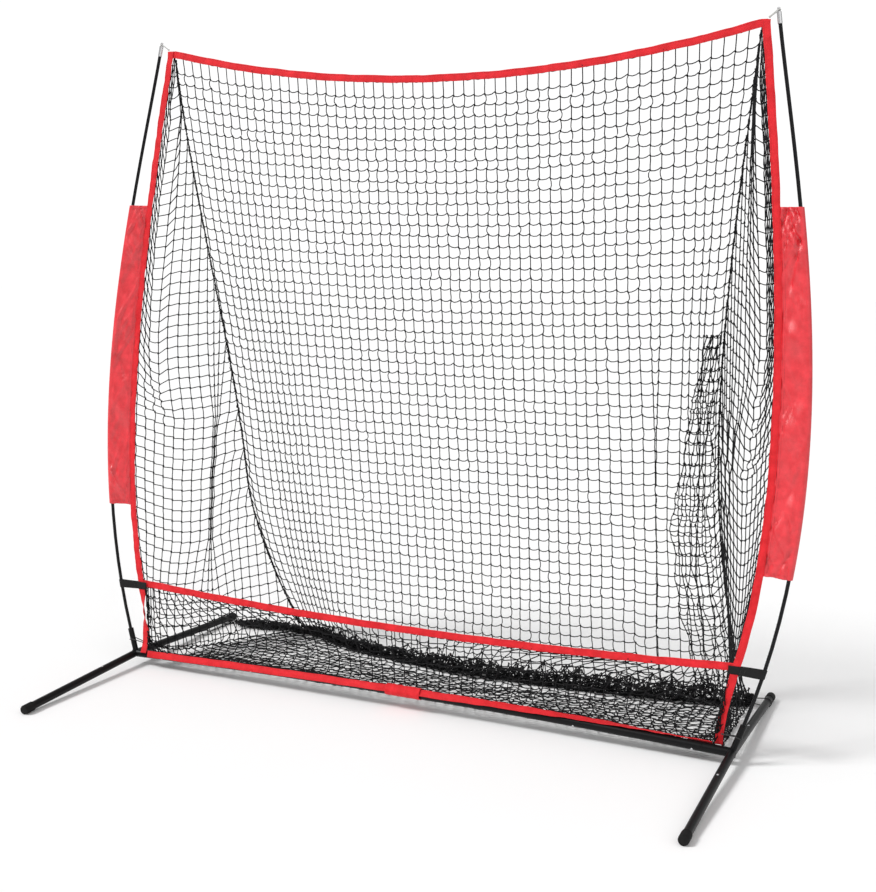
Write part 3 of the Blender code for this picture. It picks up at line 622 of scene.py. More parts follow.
# The front lip, the side panels and the extra net
LIP_ROWS = 10
LIP_CROWDING = 1.7  # how much its columns crowd to its ends
LIP_BELLY = 0.022
LIP_OFF_TUBE = 0.0032
WING_ROWS = 56
WING_SPARE = {"left": 3, "right": 7}  # bars beyond the panel's width, taken up by its fold
WING_FOLD_ROWS = {"left": (22, 46), "right": (20, 56)}
WING_FOLD_BARS = {  # counted from the tape, or back from the seam
    "left": (8, 9, 10),
    "right": (-9, -8, -6, -5, -3, -2),
}
LACE_RADIUS = 0.00125
LACE_TWIST = 190  # radians, from end to end
SEAM_HITCHES = 90
HITCH_RADIUS = 0.0030
TUFT_STRANDS = 30
TUFT_SPREAD = (0.004, 0.013, 0.008)
TUFT_REACH = 0.054  # from the rear leg's axis
GATHER_COLUMNS = 7
GATHER_ROWS = 34
GATHER_TOP = 0.56  # as a share of the seam's height
GATHER_WIDTH = 0.130


def off_the_cross_tube(points, free):
    """Moves knots out of the cross tube, and keeps those below it well behind it."""
    axis = np.stack([np.full(len(points), BASE_Y), BRACKET_HEIGHT + arch(points[:, 0])], -1)
    away = points[:, 1:] - axis
    distance = np.linalg.norm(away, axis=1)
    wanted = CROSS_RADIUS + NET_OFF_TUBE
    inside = distance < wanted
    push = (wanted - distance[inside]) / np.maximum(distance[inside], 1e-6)
    points[inside, 1:] += away[inside] * push[:, None]
    nearest = wanted - BEHIND_TUBE * away[:, 1]
    under = free & (away[:, 1] < 0) & (away[:, 0] < nearest)
    points[under, 1] = BASE_Y + nearest[under]


def settle(points, pinned, groups, limits, drop):
    """Lets the knots hang: gravity pulls them, and no bar grows longer than its limit."""
    weight = np.where(pinned, 0.0, 1.0)
    rounds = SETTLING
    for number in range(rounds):
        before = points.copy()
        points[:, 2] -= weight * drop * max(0.0, 1 - 1.5 * number / rounds)
        for group, limit in zip(groups, limits):
            first, second = group[:, 0], group[:, 1]
            gap = points[second] - points[first]
            span = np.maximum(np.linalg.norm(gap, axis=1), 1e-9)
            total = np.maximum(weight[first] + weight[second], 1e-9)
            move = gap * (np.maximum(span - limit, 0) / span / total)[:, None]
            points[first] += move * weight[first][:, None]
            points[second] -= move * weight[second][:, None]
        off_the_cross_tube(points, ~pinned)
        low = (points[:, 2] < GROUND) & ~pinned
        points[low, :2] = before[low, :2] + GROUND_SLIP * (points[low, :2] - before[low, :2])
        points[low, 2] = GROUND
    return points


def pin(points, *knots):
    """Marks for the knots that are sewn or tied in place."""
    pinned = np.zeros(len(points), bool)
    for some in knots:
        pinned[some] = True
    return pinned


def shake(points, pinned, size):
    """Moves the free knots a little off their even places."""
    free = ~pinned
    points[free] += draw.normal(size=(free.sum(), 3)) * size


def lattice(counts):
    """Numbers of the knots in rows that have counts of bars, and the bars.

    The bars come in four groups that share no knot: two of level bars, then two of upright ones.
    """
    table = np.full((len(counts), max(counts) + 1), -1)
    total = 0
    for row, count in enumerate(counts):
        table[row, : count + 1] = np.arange(total, total + count + 1)
        total += count + 1
    level = [(table[:, start:-1:2], table[:, start + 1 :: 2]) for start in (0, 1)]
    upright = [(table[start:-1:2], table[start + 1 :: 2]) for start in (0, 1)]
    bars = []
    for first, second in level + upright:
        real = (first >= 0) & (second >= 0)
        bars.append(np.stack([first[real], second[real]], -1))
    return table, bars


def bar_paths(points, bars, across):
    """The line of each bar: slack ones sag, and those on the ground lie in loops."""
    start, end = points[bars[:, 0]], points[bars[:, 1]]
    across = np.array(across)
    level = (np.abs(unit(end - start) @ across) > 0.6)[:, None]
    slant = (across * 0.5 - UP * 0.8) * KNOT_LENGTH * 0.36
    start = np.where(level, start + slant, start)
    end = np.where(level, end - slant, end)
    chord = end - start
    span = np.maximum(np.linalg.norm(chord, axis=1), 1e-4)
    axis = chord / span[:, None]
    sag = span * np.sqrt(0.375 * np.clip(MESH_BAR / span - 1, 0, 1.6)) * TWINE_STIFFNESS
    sag = np.minimum(sag, 0.42 * MESH_BAR)
    stray = draw.normal(size=chord.shape)
    stray = unit(stray - axis * (stray * axis).sum(1, keepdims=True))
    down = -UP - axis * (-axis[:, 2:])
    lying = (np.minimum(start[:, 2], end[:, 2]) < GROUND + 0.8 * sag)[:, None]
    flat = unit(stray * (1, 1, 0.35) + UP * 0.15)
    direction = unit(np.where(lying, flat, down + 0.30 * stray))
    share = np.linspace(0, 1, BAR_STEPS)[None, :, None]
    paths = start[:, None] + share * chord[:, None]
    paths = paths + 4 * share * (1 - share) * (sag[:, None] * direction)[:, None]
    paths[:, 1:-1] += draw.normal(size=paths[:, 1:-1].shape) * 0.00035
    paths[:, :, 2] = np.maximum(paths[:, :, 2], TWINE_RADIUS)
    return paths


def knot_paths(points, across):
    """Short slanting lines, one for the lump of each knot."""
    axis = unit(np.array(across) * 0.55 - UP * 0.75 + draw.normal(size=points.shape) * 0.25)
    share = np.array((-1.0, -0.42, 0.42, 1.0))[None, :, None]
    paths = points[:, None] + axis[:, None] * share * KNOT_LENGTH / 2
    paths[:, :, 2] = np.maximum(paths[:, :, 2], TWINE_RADIUS)
    return paths


def netting(name, net, across, stands_for):
    """A piece of net: a tube along each bar and a lump at each knot.

    net is its points, its bars and its knots.
    """
    points, bars, knots = net
    radius = TWINE_RADIUS * draw.uniform(0.94, 1.06, (len(bars), 1))
    strands = tubes(bar_paths(points, bars, across), radius, 5)
    lump = np.array((0.55, 1.0, 1.0, 0.55)) * KNOT_RADIUS
    lines = knot_paths(points[knots], across)
    lumps = tubes(lines, lump * draw.uniform(0.85, 1.12, (len(knots), 1)), 5)
    made = piece(name, merged([strands, lumps]), TWINE, stands_for)


def whole(points, bars):
    """All of a settled lattice, as netting takes it."""
    return points, np.concatenate(bars), np.arange(len(points))


def between_sides(left, right, across):
    """Points on the line from left to right, for across from -1 to 1."""
    return left + (right - left) * (across[:, None] + 1) / 2


def drawn_in(x, edge, width):
    """Plumb places kept inside a seam: those near it crowd into a width beside it."""
    start = edge - width
    return np.where(x > start, start + (x - start) * width / (SEAM_CORNER_X - start), x)


def back_place(across, share):
    """Where the back panel hangs, across from -1 to 1, and share 1 at its top.

    Its columns hang plumb, so they crowd beside the seams, most of all at the right.
    """
    left, right = seam(-1, share), seam(1, share)
    plumb = SEAM_CORNER_X * across
    inward = drawn_in(plumb, right[0], CROWD_WIDTH["right"])
    inward = -drawn_in(-inward, -left[0], CROWD_WIDTH["left"])
    place = between_sides(left, right, across)
    place[:, 0] = inward
    crown = 1 - across**2
    place[:, 1] -= FOLD_BOW * crown * (1 - share) ** 2
    place[:, 2] -= TOP_SAG * crown * share**3
    return place


def top_place(across):
    """The back panel's first row, sewn into the top tape."""
    x = (TOP_CORNER_X - 0.012) * across
    z = band_z(x, band_half(TOP_CORNER_X), NET_TOP, TOP_SAG) - NET_UNDER_BAND
    return np.stack([x, lean_y(z, FRONT_OFFSET) + SEWN_BEHIND, z], -1)


def fold_limit(row, span):
    """How short a bar in a fold is drawn: the fold closes over its first rows."""
    closing = np.clip((row - span[0]) / FOLD_CLOSING, 0, 1)
    return MESH_BAR + (FOLD_BAR - MESH_BAR) * closing * closing * (3 - 2 * closing)


def fold_place(across):
    """Where the back panel meets the ground."""
    place = back_place(across, 0.0)
    place[:, 1] = np.minimum(place[:, 1] + 0.07 * np.maximum(0, -across), 0.585)
    place[:, 2] = GROUND + 0.002
    return place


def pile_place(across, number):
    """The slack foot of the back panel, heaped in a low roll along the fold."""
    place = fold_place(across)
    turn = 2.1 * number + waves(across, (0.9, 0.37, 0.16), 0.9)
    round_size = PILE_HEIGHT / 2 * (0.75 + 0.25 * math.sin(number * 2.7))
    size = round_size * (1 + waves(across, (0.42, 0.11, 0.06), 0.28))
    size = size * (0.78 + 0.28 * across) * (1 - 0.35 * across**8)
    place[:, 0] += waves(across, (0.13, 0.045, 0.03), 0.012)
    place[:, 1] += PILE_SHIFT + np.cos(turn) * size * 1.3
    place[:, 2] = np.maximum(GROUND, GROUND + size + np.sin(turn) * size)
    return place


def floor_place(across, share):
    """The bag's foot, share 0 at its fold with the back and 1 behind the cross tube."""
    place = between_sides(foot_line(-1, 1 - share), foot_line(1, 1 - share), across)
    fold = fold_place(across)[:, 1] + PILE_SHIFT
    front = BASE_Y + CROSS_RADIUS + 0.0040
    inner = fold + (front - fold) * share
    edge = np.abs(across) ** 8
    place[:, 1] = inner + (place[:, 1] - inner) * edge
    lift = (BRACKET_HEIGHT + arch(place[:, 0]) + 0.004) * share**1.4
    ripple = RIPPLE_HEIGHT * np.abs(waves(share * 0.5 + across * 0.05, (0.11, 0.047), 1.0))
    lift = lift + ripple * math.sin(math.pi * share)
    place[:, 2] = np.maximum(place[:, 2] * edge, (GROUND + lift) * (1 - edge))
    return place


def bag_places():
    """Where the bag's knots start out, from the top tape to behind the cross tube."""
    across = np.linspace(-1, 1, BACK_COLUMNS + 1)
    rows = [top_place(across)]
    rows += [back_place(across, 1 - row / BACK_ROWS) for row in range(1, BACK_ROWS)]
    rows += [fold_place(across)]
    rows += [pile_place(across, number) for number in range(PILE_ROWS)]
    rows += [floor_place(across, row / FLOOR_ROWS) for row in range(1, FLOOR_ROWS + 1)]
    return np.concatenate(rows)


def crowd_unevenly(points, table):
    """Moves the columns beside the right seam off their plumb lines, the lower the more."""
    rows = np.arange(BACK_ROWS)
    for column in range(BACK_COLUMNS - CROWD_COLUMNS, BACK_COLUMNS):
        loose = np.clip((rows - 14) / 26, 0, 1) * min(1.0, (BACK_COLUMNS - column) / 3)
        knots = table[:BACK_ROWS, column]
        points[knots, 0] += loose * waves(rows * 1.0, (41.0, 17.0, 7.3), CROWD_STRAY)
        points[knots, 1] -= loose * np.abs(waves(rows * 1.0, (29.0, 11.0), CROWD_DEPTH))


def bag_limits(points, table, bars):
    """How long each of the bag's bars may get, in the groups that lattice gives."""
    folded = {}
    for columns, span in BACK_FOLDS:
        for row in range(*span):
            for column in columns:
                folded[table[row, column]] = fold_limit(row, span)
    limits = []
    for number, group in enumerate(bars):
        limit = MESH_BAR * draw.uniform(0.985, 1.015, len(group))
        if number < 2:
            level = [folded.get(knot, 1.1 * MESH_BAR) for knot in group[:, 0]]
            limit = np.minimum(limit, level)
        else:
            span = np.linalg.norm(points[group[:, 1]] - points[group[:, 0]], axis=1)
            limit = np.where(group[:, 0] < table[BACK_ROWS - 1, 0], span * 1.003, limit)
            limit = np.where(group[:, 0] >= table[-1 - TAUT_ROWS, 0], TAUT_BAR, limit)
        limits.append(limit)
    return limits


def make_bag():
    """The bag's back and floor, one net from the top tape down and forward to the bottom tape."""
    table, bars = lattice([BACK_COLUMNS] * (BAG_ROWS + 1))
    points = bag_places()
    pinned = pin(points, table[0], table[BACK_ROWS : HEAPED + 1], table[-1], table[:, (0, -1)])
    shake(points, pinned, 0.0016)
    crowd_unevenly(points, table)
    points = settle(points, pinned, bars, bag_limits(points, table, bars), LONG_DROP)
    everything = np.concatenate(bars)
    half_way = BACK_ROWS // 2
    for name, first, last, stands_for, rests_on, held in (
        ("net_back_upper", 0, half_way, "net_back", ["trim_top"], "hung"),
        ("net_back_lower", half_way, BACK_ROWS, "net_back", ["net_back_upper"], "hung"),
        ("net_bag_fold", BACK_ROWS, HEAPED, "net_floor", ["ground"], "gathered"),
        ("net_bag_floor", HEAPED, BAG_ROWS, "net_floor", ["trim_bottom", "ground"], "gathered"),
    ):
        low = table[first, 0]
        high = table[last, -1] if last == BAG_ROWS else table[last, 0] - 1
        chosen = everything[(everything[:, 0] >= low) & (everything[:, 0] <= high)]
        net = (points, chosen, np.arange(low, high + 1))
        netting(name, net, (1.0, 0, 0), (stands_for,))


def lip_place(across, share):
    """The slack front of the pocket, share 0 at the middle tape and 1 under the bottom tape."""
    x = (BAND_CORNER_X - 0.014 + (TRIM_BOTTOM_X - BAND_CORNER_X) * share**0.8) * across
    top = band_z(x, band_half(BAND_CORNER_X), BAND_HEIGHT, BAND_SAG) - NET_UNDER_BAND
    angle = np.radians(np.minimum(band_degrees(x) + 34, 142))
    surface = CROSS_RADIUS + LIP_OFF_TUBE
    foot = BRACKET_HEIGHT + arch(x) + surface * np.sin(angle)
    foot = foot + (TRIM_BOTTOM - foot) * np.abs(across) ** 14
    z = top + (foot - top) * share
    hanging = lean_y(z, FRONT_OFFSET) + SEWN_BEHIND
    y = hanging + (BASE_Y - np.cos(angle) * surface - hanging) * share**2
    belly = LIP_BELLY * math.sin(math.pi * share) * (1 - across**10)
    return np.stack([x, y + belly, z], -1)


def make_lip():
    table, bars = lattice([BACK_COLUMNS] * (LIP_ROWS + 1))
    even = np.linspace(-1, 1, BACK_COLUMNS + 1)
    across = np.sign(even) * (1 - (1 - np.abs(even)) ** LIP_CROWDING)
    points = np.concatenate([lip_place(across, row / LIP_ROWS) for row in range(LIP_ROWS + 1)])
    pinned = pin(points, table[0], table[-1], table[:, 0], table[:, -1])
    shake(points, pinned, (0.003, 0.008, 0.002))
    limits = [np.full(len(group), MESH_BAR) for group in bars]
    net = whole(settle(points, pinned, bars, limits, DROP), bars)
    netting("net_lip", net, (1.0, 0, 0), ("net_front_lip",))


def make_wing(label, side):
    """A side panel, whose bars run along the side tape and end on the seam."""
    falls = np.arange(WING_ROWS + 1) / WING_ROWS
    lines, counts = [], []
    for fall in falls:
        z = NET_TOP - (NET_TOP - TRIM_BOTTOM) * fall
        front = np.array((side * (trim_x(z) - TRIM_INNER), trim_y(side, z) + SEWN_BEHIND, z))
        rear = seam(side, 1 - fall)
        count = max(1, round(np.linalg.norm(rear - front) / MESH_BAR) + WING_SPARE[label])
        share = np.linspace(0, 1, count + 1)
        lines.append(front + (rear - front) * share[:, None])
        counts.append(count)
    lines[-1] = foot_line(side, share)
    table, bars = lattice(counts)
    points = np.concatenate(lines)
    ends = [table[row, count] for row, count in enumerate(counts)]
    pinned = pin(points, table[:, 0], ends, table[-1][table[-1] >= 0])
    shake(points, pinned, (0.005, 0.004, 0.001))
    limits = wing_limits(label, table, bars, counts)
    net = whole(settle(points, pinned, bars, limits, DROP), bars)
    across = (0.25 * side, -0.97, 0)
    netting("net_wing_" + label, net, across, ("net_side_" + label,))


def wing_limits(label, table, bars, counts):
    """How long each of a side panel's bars may get: the level ones in its fold are drawn short."""
    tight = {}
    span = WING_FOLD_ROWS[label]
    for row in range(*span):
        for bar in WING_FOLD_BARS[label]:
            column = bar if bar >= 0 else counts[row] + bar
            if 0 < column < counts[row]:
                tight[table[row, column]] = fold_limit(row, span)
    limits = [np.array([tight.get(knot, MESH_BAR) for knot in group[:, 0]]) for group in bars[:2]]
    return limits + [np.full(len(group), MESH_BAR) for group in bars[2:]]


def make_seam(label, side):
    """The lacing down a rear seam: a doubled twine with small hitches."""
    share = np.linspace(0.0, 1.0, 520)
    line = seam(side, share)
    twine = []
    for phase in (0.0, math.pi):
        turn = share * LACE_TWIST + phase + waves(share, (0.21, 0.083), 1.1)
        sway = np.stack([np.cos(turn), np.sin(turn), np.zeros_like(turn)], -1)
        away = 0.0017 + 0.0009 * np.abs(waves(share, (0.031, 0.017), 1.0))
        twine.append(line + sway * away[:, None])
    body = tubes(np.stack(twine), LACE_RADIUS, 6)
    hitch = np.interp(np.linspace(0.01, 0.995, SEAM_HITCHES), share, np.arange(len(share)))
    lines = knot_paths(line[hitch.astype(int)], (0.9 * side, -0.4, 0))
    piece("net_seam_" + label, merged([body, tubes(lines, HITCH_RADIUS, 6)]), TWINE)


def make_tuft(label, side):
    """Gathered net from the bag's rear corner to the loop on the leg."""
    start = seam(side, 0.0) + np.array((0, 0, -0.004))
    end = rear_hook(side)[0] + np.array((-side * TUFT_REACH, 0, 0))
    length = np.linalg.norm(end - start)
    share = np.linspace(0, 1, 26)
    loose = np.sin(math.pi * share) ** 0.6
    lines = []
    for _ in range(TUFT_STRANDS):
        line = start + (end - start) * share[:, None]
        for axis, size in enumerate(TUFT_SPREAD):
            wander = waves(share * length, (0.11, 0.05, 0.023), 1.0) + draw.normal()
            line[:, axis] += loose * wander * size
        line[:, 2] = np.maximum(line[:, 2], GROUND)
        lines.append(line)
    lines = np.stack(lines)
    knots = knot_paths(lines[:, 2:-2:3].reshape(-1, 3), (0.5, 0.5, 0))
    parts = [tubes(lines, TWINE_RADIUS, 5), tubes(knots, KNOT_RADIUS, 6)]
    piece("net_corner_" + label, merged(parts), TWINE)


def make_gather():
    """The back's slack at its right, folded double beside the seam."""
    _, bars = lattice([GATHER_COLUMNS] * (GATHER_ROWS + 1))
    row = np.arange(GATHER_ROWS + 1)
    down = row / GATHER_ROWS
    line = seam(1, GATHER_TOP * (1 - down) + 0.02)
    points = np.zeros((GATHER_ROWS + 1, GATHER_COLUMNS + 1, 3))
    for column in range(GATHER_COLUMNS + 1):
        opened = GATHER_WIDTH * column / GATHER_COLUMNS * np.clip(0.25 + 1.4 * down, 0, 1)
        points[:, column] = line
        points[:, column, 0] -= 0.010 + opened + waves(row * 1.0, (23.0, 9.0, 4.3), 0.006)
        points[:, column, 1] -= 0.012 + 0.3 * opened + np.abs(waves(row * 1.0, (17.0, 5.0), 0.008))
    net = whole(points.reshape(-1, 3), bars)
    netting("net_gather_right", net, (1.0, 0, 0), ())


# -------------------- tapes and stitching

TAPE_HALF = (  # share of the half width from the middle out, and half the thickness there
    (0.00, 0.00140),
    (0.52, 0.00125),
    (0.66, 0.00095),
    (0.78, 0.00140),
    (0.93, 0.00130),
    (1.00, 0.00045),
)
TAPE_STEPS = 520
STITCH_SHARE = 0.66
STITCH_HEIGHT = 0.00125
STITCH_LENGTH = 0.0030
STITCH_GAP = 0.0012
STITCH_SINK = 0.00030  # how deep a stitch's ends lie in the cloth
STITCH_RISE = 0.00028
THREAD_RADIUS = 0.00034
STRAP_THREAD_RADIUS = 0.0004
TAPE_TWIST = {"left": 1.15, "right": 0.35}
TWIST_HEIGHT = 0.185
TWIST_LENGTH = 0.036
TAPE_FOOT = 0.050
TAPE_FOOT_SHIFT = {"left": -0.009, "right": 0.0}
TAPE_HEAD = 0.010  # how far a side tape runs on above the top corner
SIDE_TAPE_AHEAD = 0.0012  # of the CAD tape's middle
LEVEL_TAPE_BEHIND = 0.0014
BAND_REACH = 0.004  # how far the level tapes run on behind the side tapes
BAND_OFF_TUBE = 0.0031
RIPPLE = 0.0009
BAND_RIPPLE = 0.0003  # of the bottom tape, which is held by the cross tube


def stitches(name, lines, material, radius=THREAD_RADIUS):
    """Short thread arcs along lines, each a line of points and the cloth's outward direction."""
    share = np.array((0.0, 0.5, 1.0))
    lift = np.array((-STITCH_SINK, STITCH_RISE, -STITCH_SINK))[None, :, None]
    paths = []
    for line, out in lines:
        along = lengths_along(line)
        starts = np.arange(0.004, along[-1] - 0.006, STITCH_LENGTH + STITCH_GAP)
        places = starts[:, None] + share * STITCH_LENGTH
        paths.append(at_lengths(places, along, line) + at_lengths(places, along, out) * lift)
    piece(name, tubes(np.concatenate(paths), radius, 4), material)


def tape(name, path, across, out, ripple=RIPPLE):
    """A folded tape along a line: across is its width's direction and out its front's."""
    along = lengths_along(path)
    wander = waves(along, (0.31, 0.12), 0.0006)
    buckle = waves(along, (0.17, 0.064, 0.037), ripple)
    curl = waves(along, (0.23, 0.081), 0.10)
    across = unit(across + out * curl[:, None])
    out = unit(out - across * (out * across).sum(1, keepdims=True))
    middle = path + across * wander[:, None] + out * buckle[:, None]
    section = [(-share, half) for share, half in TAPE_HALF[:0:-1]] + list(TAPE_HALF)
    section = [(share, -half) for share, half in section] + section[::-1]
    rings = []
    for share, height in section:
        pucker = waves(along, (0.019, 0.011), 0.00025) * abs(share)
        rings.append(middle + across * (share * TRIM_WIDTH / 2) + out * (height + pucker)[:, None])
    outline = np.array(section) * (TRIM_WIDTH / 2, 1)
    girth = np.concatenate([[0], np.cumsum(np.linalg.norm(np.diff(outline, axis=0), axis=1))])
    cloth = uv_grid(girth, along[:, None])
    piece(name + "_tape", loft(np.stack(rings, 1)), TAPE, (name,), cloth)
    lines = []
    for share in (-STITCH_SHARE, STITCH_SHARE):
        for face in (-1, 1):
            line = middle + across * (share * TRIM_WIDTH / 2) + out * (face * STITCH_HEIGHT)
            lines.append((line, out * face))
    stitches(name + "_stitching", lines, RED_THREAD)


def across_path(path, out):
    """Directions of a tape's width, square to its line and its front."""
    return unit(np.cross(unit(np.gradient(path, axis=0)), out))


def mouth_front(path):
    """The direction that the mouth faces, for each point of a line."""
    return np.broadcast_to(unit(np.array((0.0, -1.0, LEAN))), path.shape)


def make_side_tape(label, side):
    """A side tape, which runs past the bottom tape and twists above it."""
    z = np.linspace(TAPE_FOOT, NET_TOP + TAPE_HEAD, TAPE_STEPS)
    past = np.maximum(0, (TRIM_BOTTOM - z) / (TRIM_BOTTOM - TAPE_FOOT))
    y = trim_y(side, z) + TAPE_FOOT_SHIFT[label] * past - SIDE_TAPE_AHEAD
    path = np.stack([side * trim_x(np.minimum(z, NET_TOP)), y, z], -1)
    twist = TAPE_TWIST[label] * np.exp(-(((z - TWIST_HEIGHT) / TWIST_LENGTH) ** 2))[:, None]
    out = mouth_front(path)
    across = across_path(path, out)
    turned = across * np.cos(twist) + out * np.sin(twist)
    tape("trim_side_" + label, path, turned, out * np.cos(twist) - across * np.sin(twist))


def make_level_tape(name, corner, height, sag):
    half = band_half(corner)
    x = np.linspace(-corner - BAND_REACH, corner + BAND_REACH, TAPE_STEPS)
    z = band_z(np.clip(x, -half, half), half, height, sag)
    path = np.stack([x, lean_y(z, FRONT_OFFSET + LEVEL_TAPE_BEHIND), z], -1)
    out = mouth_front(path)
    tape(name, path, across_path(path, out), out)


def make_bottom_tape():
    """The tape along the cross tube, from its front at the left to over it at the right."""
    half = band_half(TRIM_BOTTOM_X)
    x = np.linspace(-half, half, TAPE_STEPS)
    angle = np.radians(band_degrees(x))
    out = np.stack([np.zeros_like(x), -np.cos(angle), np.sin(angle)], -1)
    core = np.stack([x, np.full_like(x, BASE_Y), BRACKET_HEIGHT + arch(x)], -1)
    path = core + out * (CROSS_RADIUS + BAND_OFF_TUBE)
    tape("trim_bottom", path, across_path(path, out), out, BAND_RIPPLE)


def make_tapes():
    for label, side in SIDES.items():
        make_side_tape(label, side)
    make_level_tape("trim_top", TOP_CORNER_X, NET_TOP, TOP_SAG)
    make_level_tape("trim_middle", BAND_CORNER_X, BAND_HEIGHT, BAND_SAG)
    make_bottom_tape()


# -------------------- sleeves, straps and wrap

SEWN_GAP = -0.0022  # sleeves and straps start behind the side tape's edge
LOOP_STEPS = 15
NOSE_STEPS = 9
LEAST_HALF = 0.0003  # between the inner faces, where the cloth lies double
THREAD_LIFT = 0.0002
FABRIC = 0.0008
SLEEVE_NOSE = 0.0016  # half the sleeve's thickness at the tape
SLEEVE_STEPS = 430
SLEEVE_SEAMS = (0.004, 0.010)  # from the tape's edge
HEMS = (0.009, 0.012)  # from the sleeve's ends
CREASES = 60
CREASE_NEAR_HEM = 0.45  # share of the creases
HEM_REACH = 0.14
PLEATS = 0.0016
STRAP_NOSE = 0.0024
STRAP_SEAMS = (0.006, 0.018)
STRAP_BELLY = 0.0012
STRAP_END_INNER = 0.021  # how far inward of the tape's middle the strap's end reaches
STRAP_END_AHEAD = 0.0042
STRAP_END_SLOPE = 0.0020
WRAP_RADIUS = CROSS_RADIUS + 0.0022
WRAP_BULGE = 0.0062  # over the bottom tape
WRAP_OVERLAP = 0.0009
WRAP_THICKNESS = 0.0010


def pole_loop_frames(side, z):
    """At each height: the tape's edge, the pole, the direction to it and the one square to that."""
    edge = side * (trim_x(z) + TRIM_WIDTH / 2 + SEWN_GAP)
    start = np.stack([edge, lean_y(z, FRONT_OFFSET), z], -1)
    pole = np.stack([side * pole_x(z), pole_y(z), z], -1)
    out = unit((pole - start) * (1, 1, 0))
    return start, pole, out, np.stack([-out[:, 1], out[:, 0], np.zeros_like(z)], -1)


def pole_loop(side, z, radius, nose, thickness, bulge):
    """A flat loop from the tape round the pole: its mesh and its UVs.

    bulge(share, height) moves both faces together, share being 0 at the tape and 1 at the pole.
    """
    start, pole, out, across = pole_loop_frames(side, z)
    reach = np.linalg.norm(pole - start, axis=1)
    face = [(share, 0.0, nose + (radius - nose) * share) for share in np.linspace(0, 1, LOOP_STEPS)]
    turns = np.radians(np.linspace(90, -90, NOSE_STEPS))[1:-1]
    outline = list(face)
    outline += [(1.0, radius * math.cos(turn), radius * math.sin(turn)) for turn in turns]
    outline += [(share, 0.0, -half) for share, _, half in face[::-1]]
    layers = []
    for inset in (0.0, thickness):
        rings = []
        for share, ahead, half in outline:
            flat = np.sign(half) * np.maximum(abs(half) - inset, LEAST_HALF)
            forward = inset if share == 0.0 else ahead * (radius - inset) / radius
            middle = start + (pole - start) * share + out * forward
            shape = bulge(np.full_like(z, share), z)
            rings.append(middle + across * (flat + shape)[:, None])
        layers.append(np.stack(rings, 1))
    steps = np.abs(np.diff([share for share, _, _ in outline])) + 0.02
    girth = np.concatenate([[0], np.cumsum(steps)])
    cloth = uv_grid(reach[:, None] * girth, z[:, None])
    rings = np.concatenate([layers[0], layers[1][::-1]])
    return loft(rings, wrap=True), np.concatenate([cloth, cloth[::-1]])


def on_pole_loop(side, z, share, face, radius, nose, bulge):
    """A stitched line on a face of such a loop, and the face's outward direction."""
    start, pole, _, across = pole_loop_frames(side, z)
    shift = face * (nose + (radius - nose) * share + THREAD_LIFT) + bulge(share, z)
    return start + (pole - start) * share[:, None] + across * shift[:, None], across * face


def share_of_reach(side, z, inset):
    """A distance from the tape's edge as a share of the way to the pole."""
    start, pole, _, _ = pole_loop_frames(side, z)
    return inset / np.linalg.norm(pole - start, axis=1)


def drawn_crease(low, high):
    """A crease: where it starts across and up, its slant, and how long, narrow and tall it is."""
    from_pole = draw.random() < 0.5
    near_hem = draw.random() < CREASE_NEAR_HEM
    at_foot = draw.random() < 0.5
    if not near_hem:
        z = draw.uniform(low, high)
    elif at_foot:
        z = low + draw.uniform(0, HEM_REACH)
    else:
        z = high - draw.uniform(0, HEM_REACH)
    slant = draw.choice((-1, 1)) * draw.uniform(0.15, 0.9)
    length = draw.uniform(0.035, 0.15)
    narrow = draw.uniform(0.0035, 0.0085)
    tall = draw.uniform(0.0030, 0.0085) * (1.4 if near_hem else 1.0)
    start = 0.96 if from_pole else 0.04
    return start, z, -slant if from_pole else slant, length, narrow, tall


def creases(side, low, high):
    """Folds that run slanting from a sleeve's sewn edges: a function of share across and height."""
    folds = [drawn_crease(low, high) for _ in range(CREASES)]

    def height(share, z):
        width = pole_x(z) - trim_x(z)
        total = np.zeros_like(z)
        for start, level, slant, length, narrow, tall in folds:
            down = z - level
            away = (share - start) * width - slant * down * 0.8
            fade = np.exp(-((down / length) ** 2))
            crest = np.exp(-((away / narrow) ** 2))
            total += tall * fade * (crest - 0.45 * np.exp(-((away / narrow / 2.2) ** 2)))
        held = np.clip(np.minimum(share, 1 - share) / 0.14, 0, 1)
        soft = np.sin(math.tau * z / 0.27 + 1.3 * side) * 0.0065
        soft = soft + np.sin(math.tau * z / 0.115 + side) * 0.0014
        pleats = np.sin(math.tau * (z / 0.092 + 0.85 * side * share))
        pleats = pleats + np.sin(math.tau * (z / 0.137 - 0.6 * share))
        return (total + (soft + PLEATS * pleats) * np.sin(math.pi * share)) * held

    return height


def make_sleeve(label, side):
    """The red sleeve round the pole, hemmed at both ends and sewn to the side tape."""
    z = np.linspace(SLEEVE_BOTTOM, SLEEVE_TOP, SLEEVE_STEPS)
    folds = creases(side, SLEEVE_BOTTOM, SLEEVE_TOP)
    data, cloth = pole_loop(side, z, SLEEVE_RADIUS, SLEEVE_NOSE, FABRIC, folds)
    name = "pole_sleeve_" + label
    made = piece(name, data, POLYESTER, ("sleeve_" + label,), cloth)
    shape = (SLEEVE_RADIUS, SLEEVE_NOSE, folds)
    round_hem = np.linspace(0.04, 0.99, 60)
    lines = []
    for face in (-1, 1):
        for inset in SLEEVE_SEAMS:
            lines.append(on_pole_loop(side, z, share_of_reach(side, z, inset), face, *shape))
        for level in [SLEEVE_BOTTOM + hem for hem in HEMS] + [SLEEVE_TOP - hem for hem in HEMS]:
            lines.append(on_pole_loop(side, np.full_like(round_hem, level), round_hem, face, *shape))
    stitches("sleeve_stitching_" + label, lines, RED_THREAD)


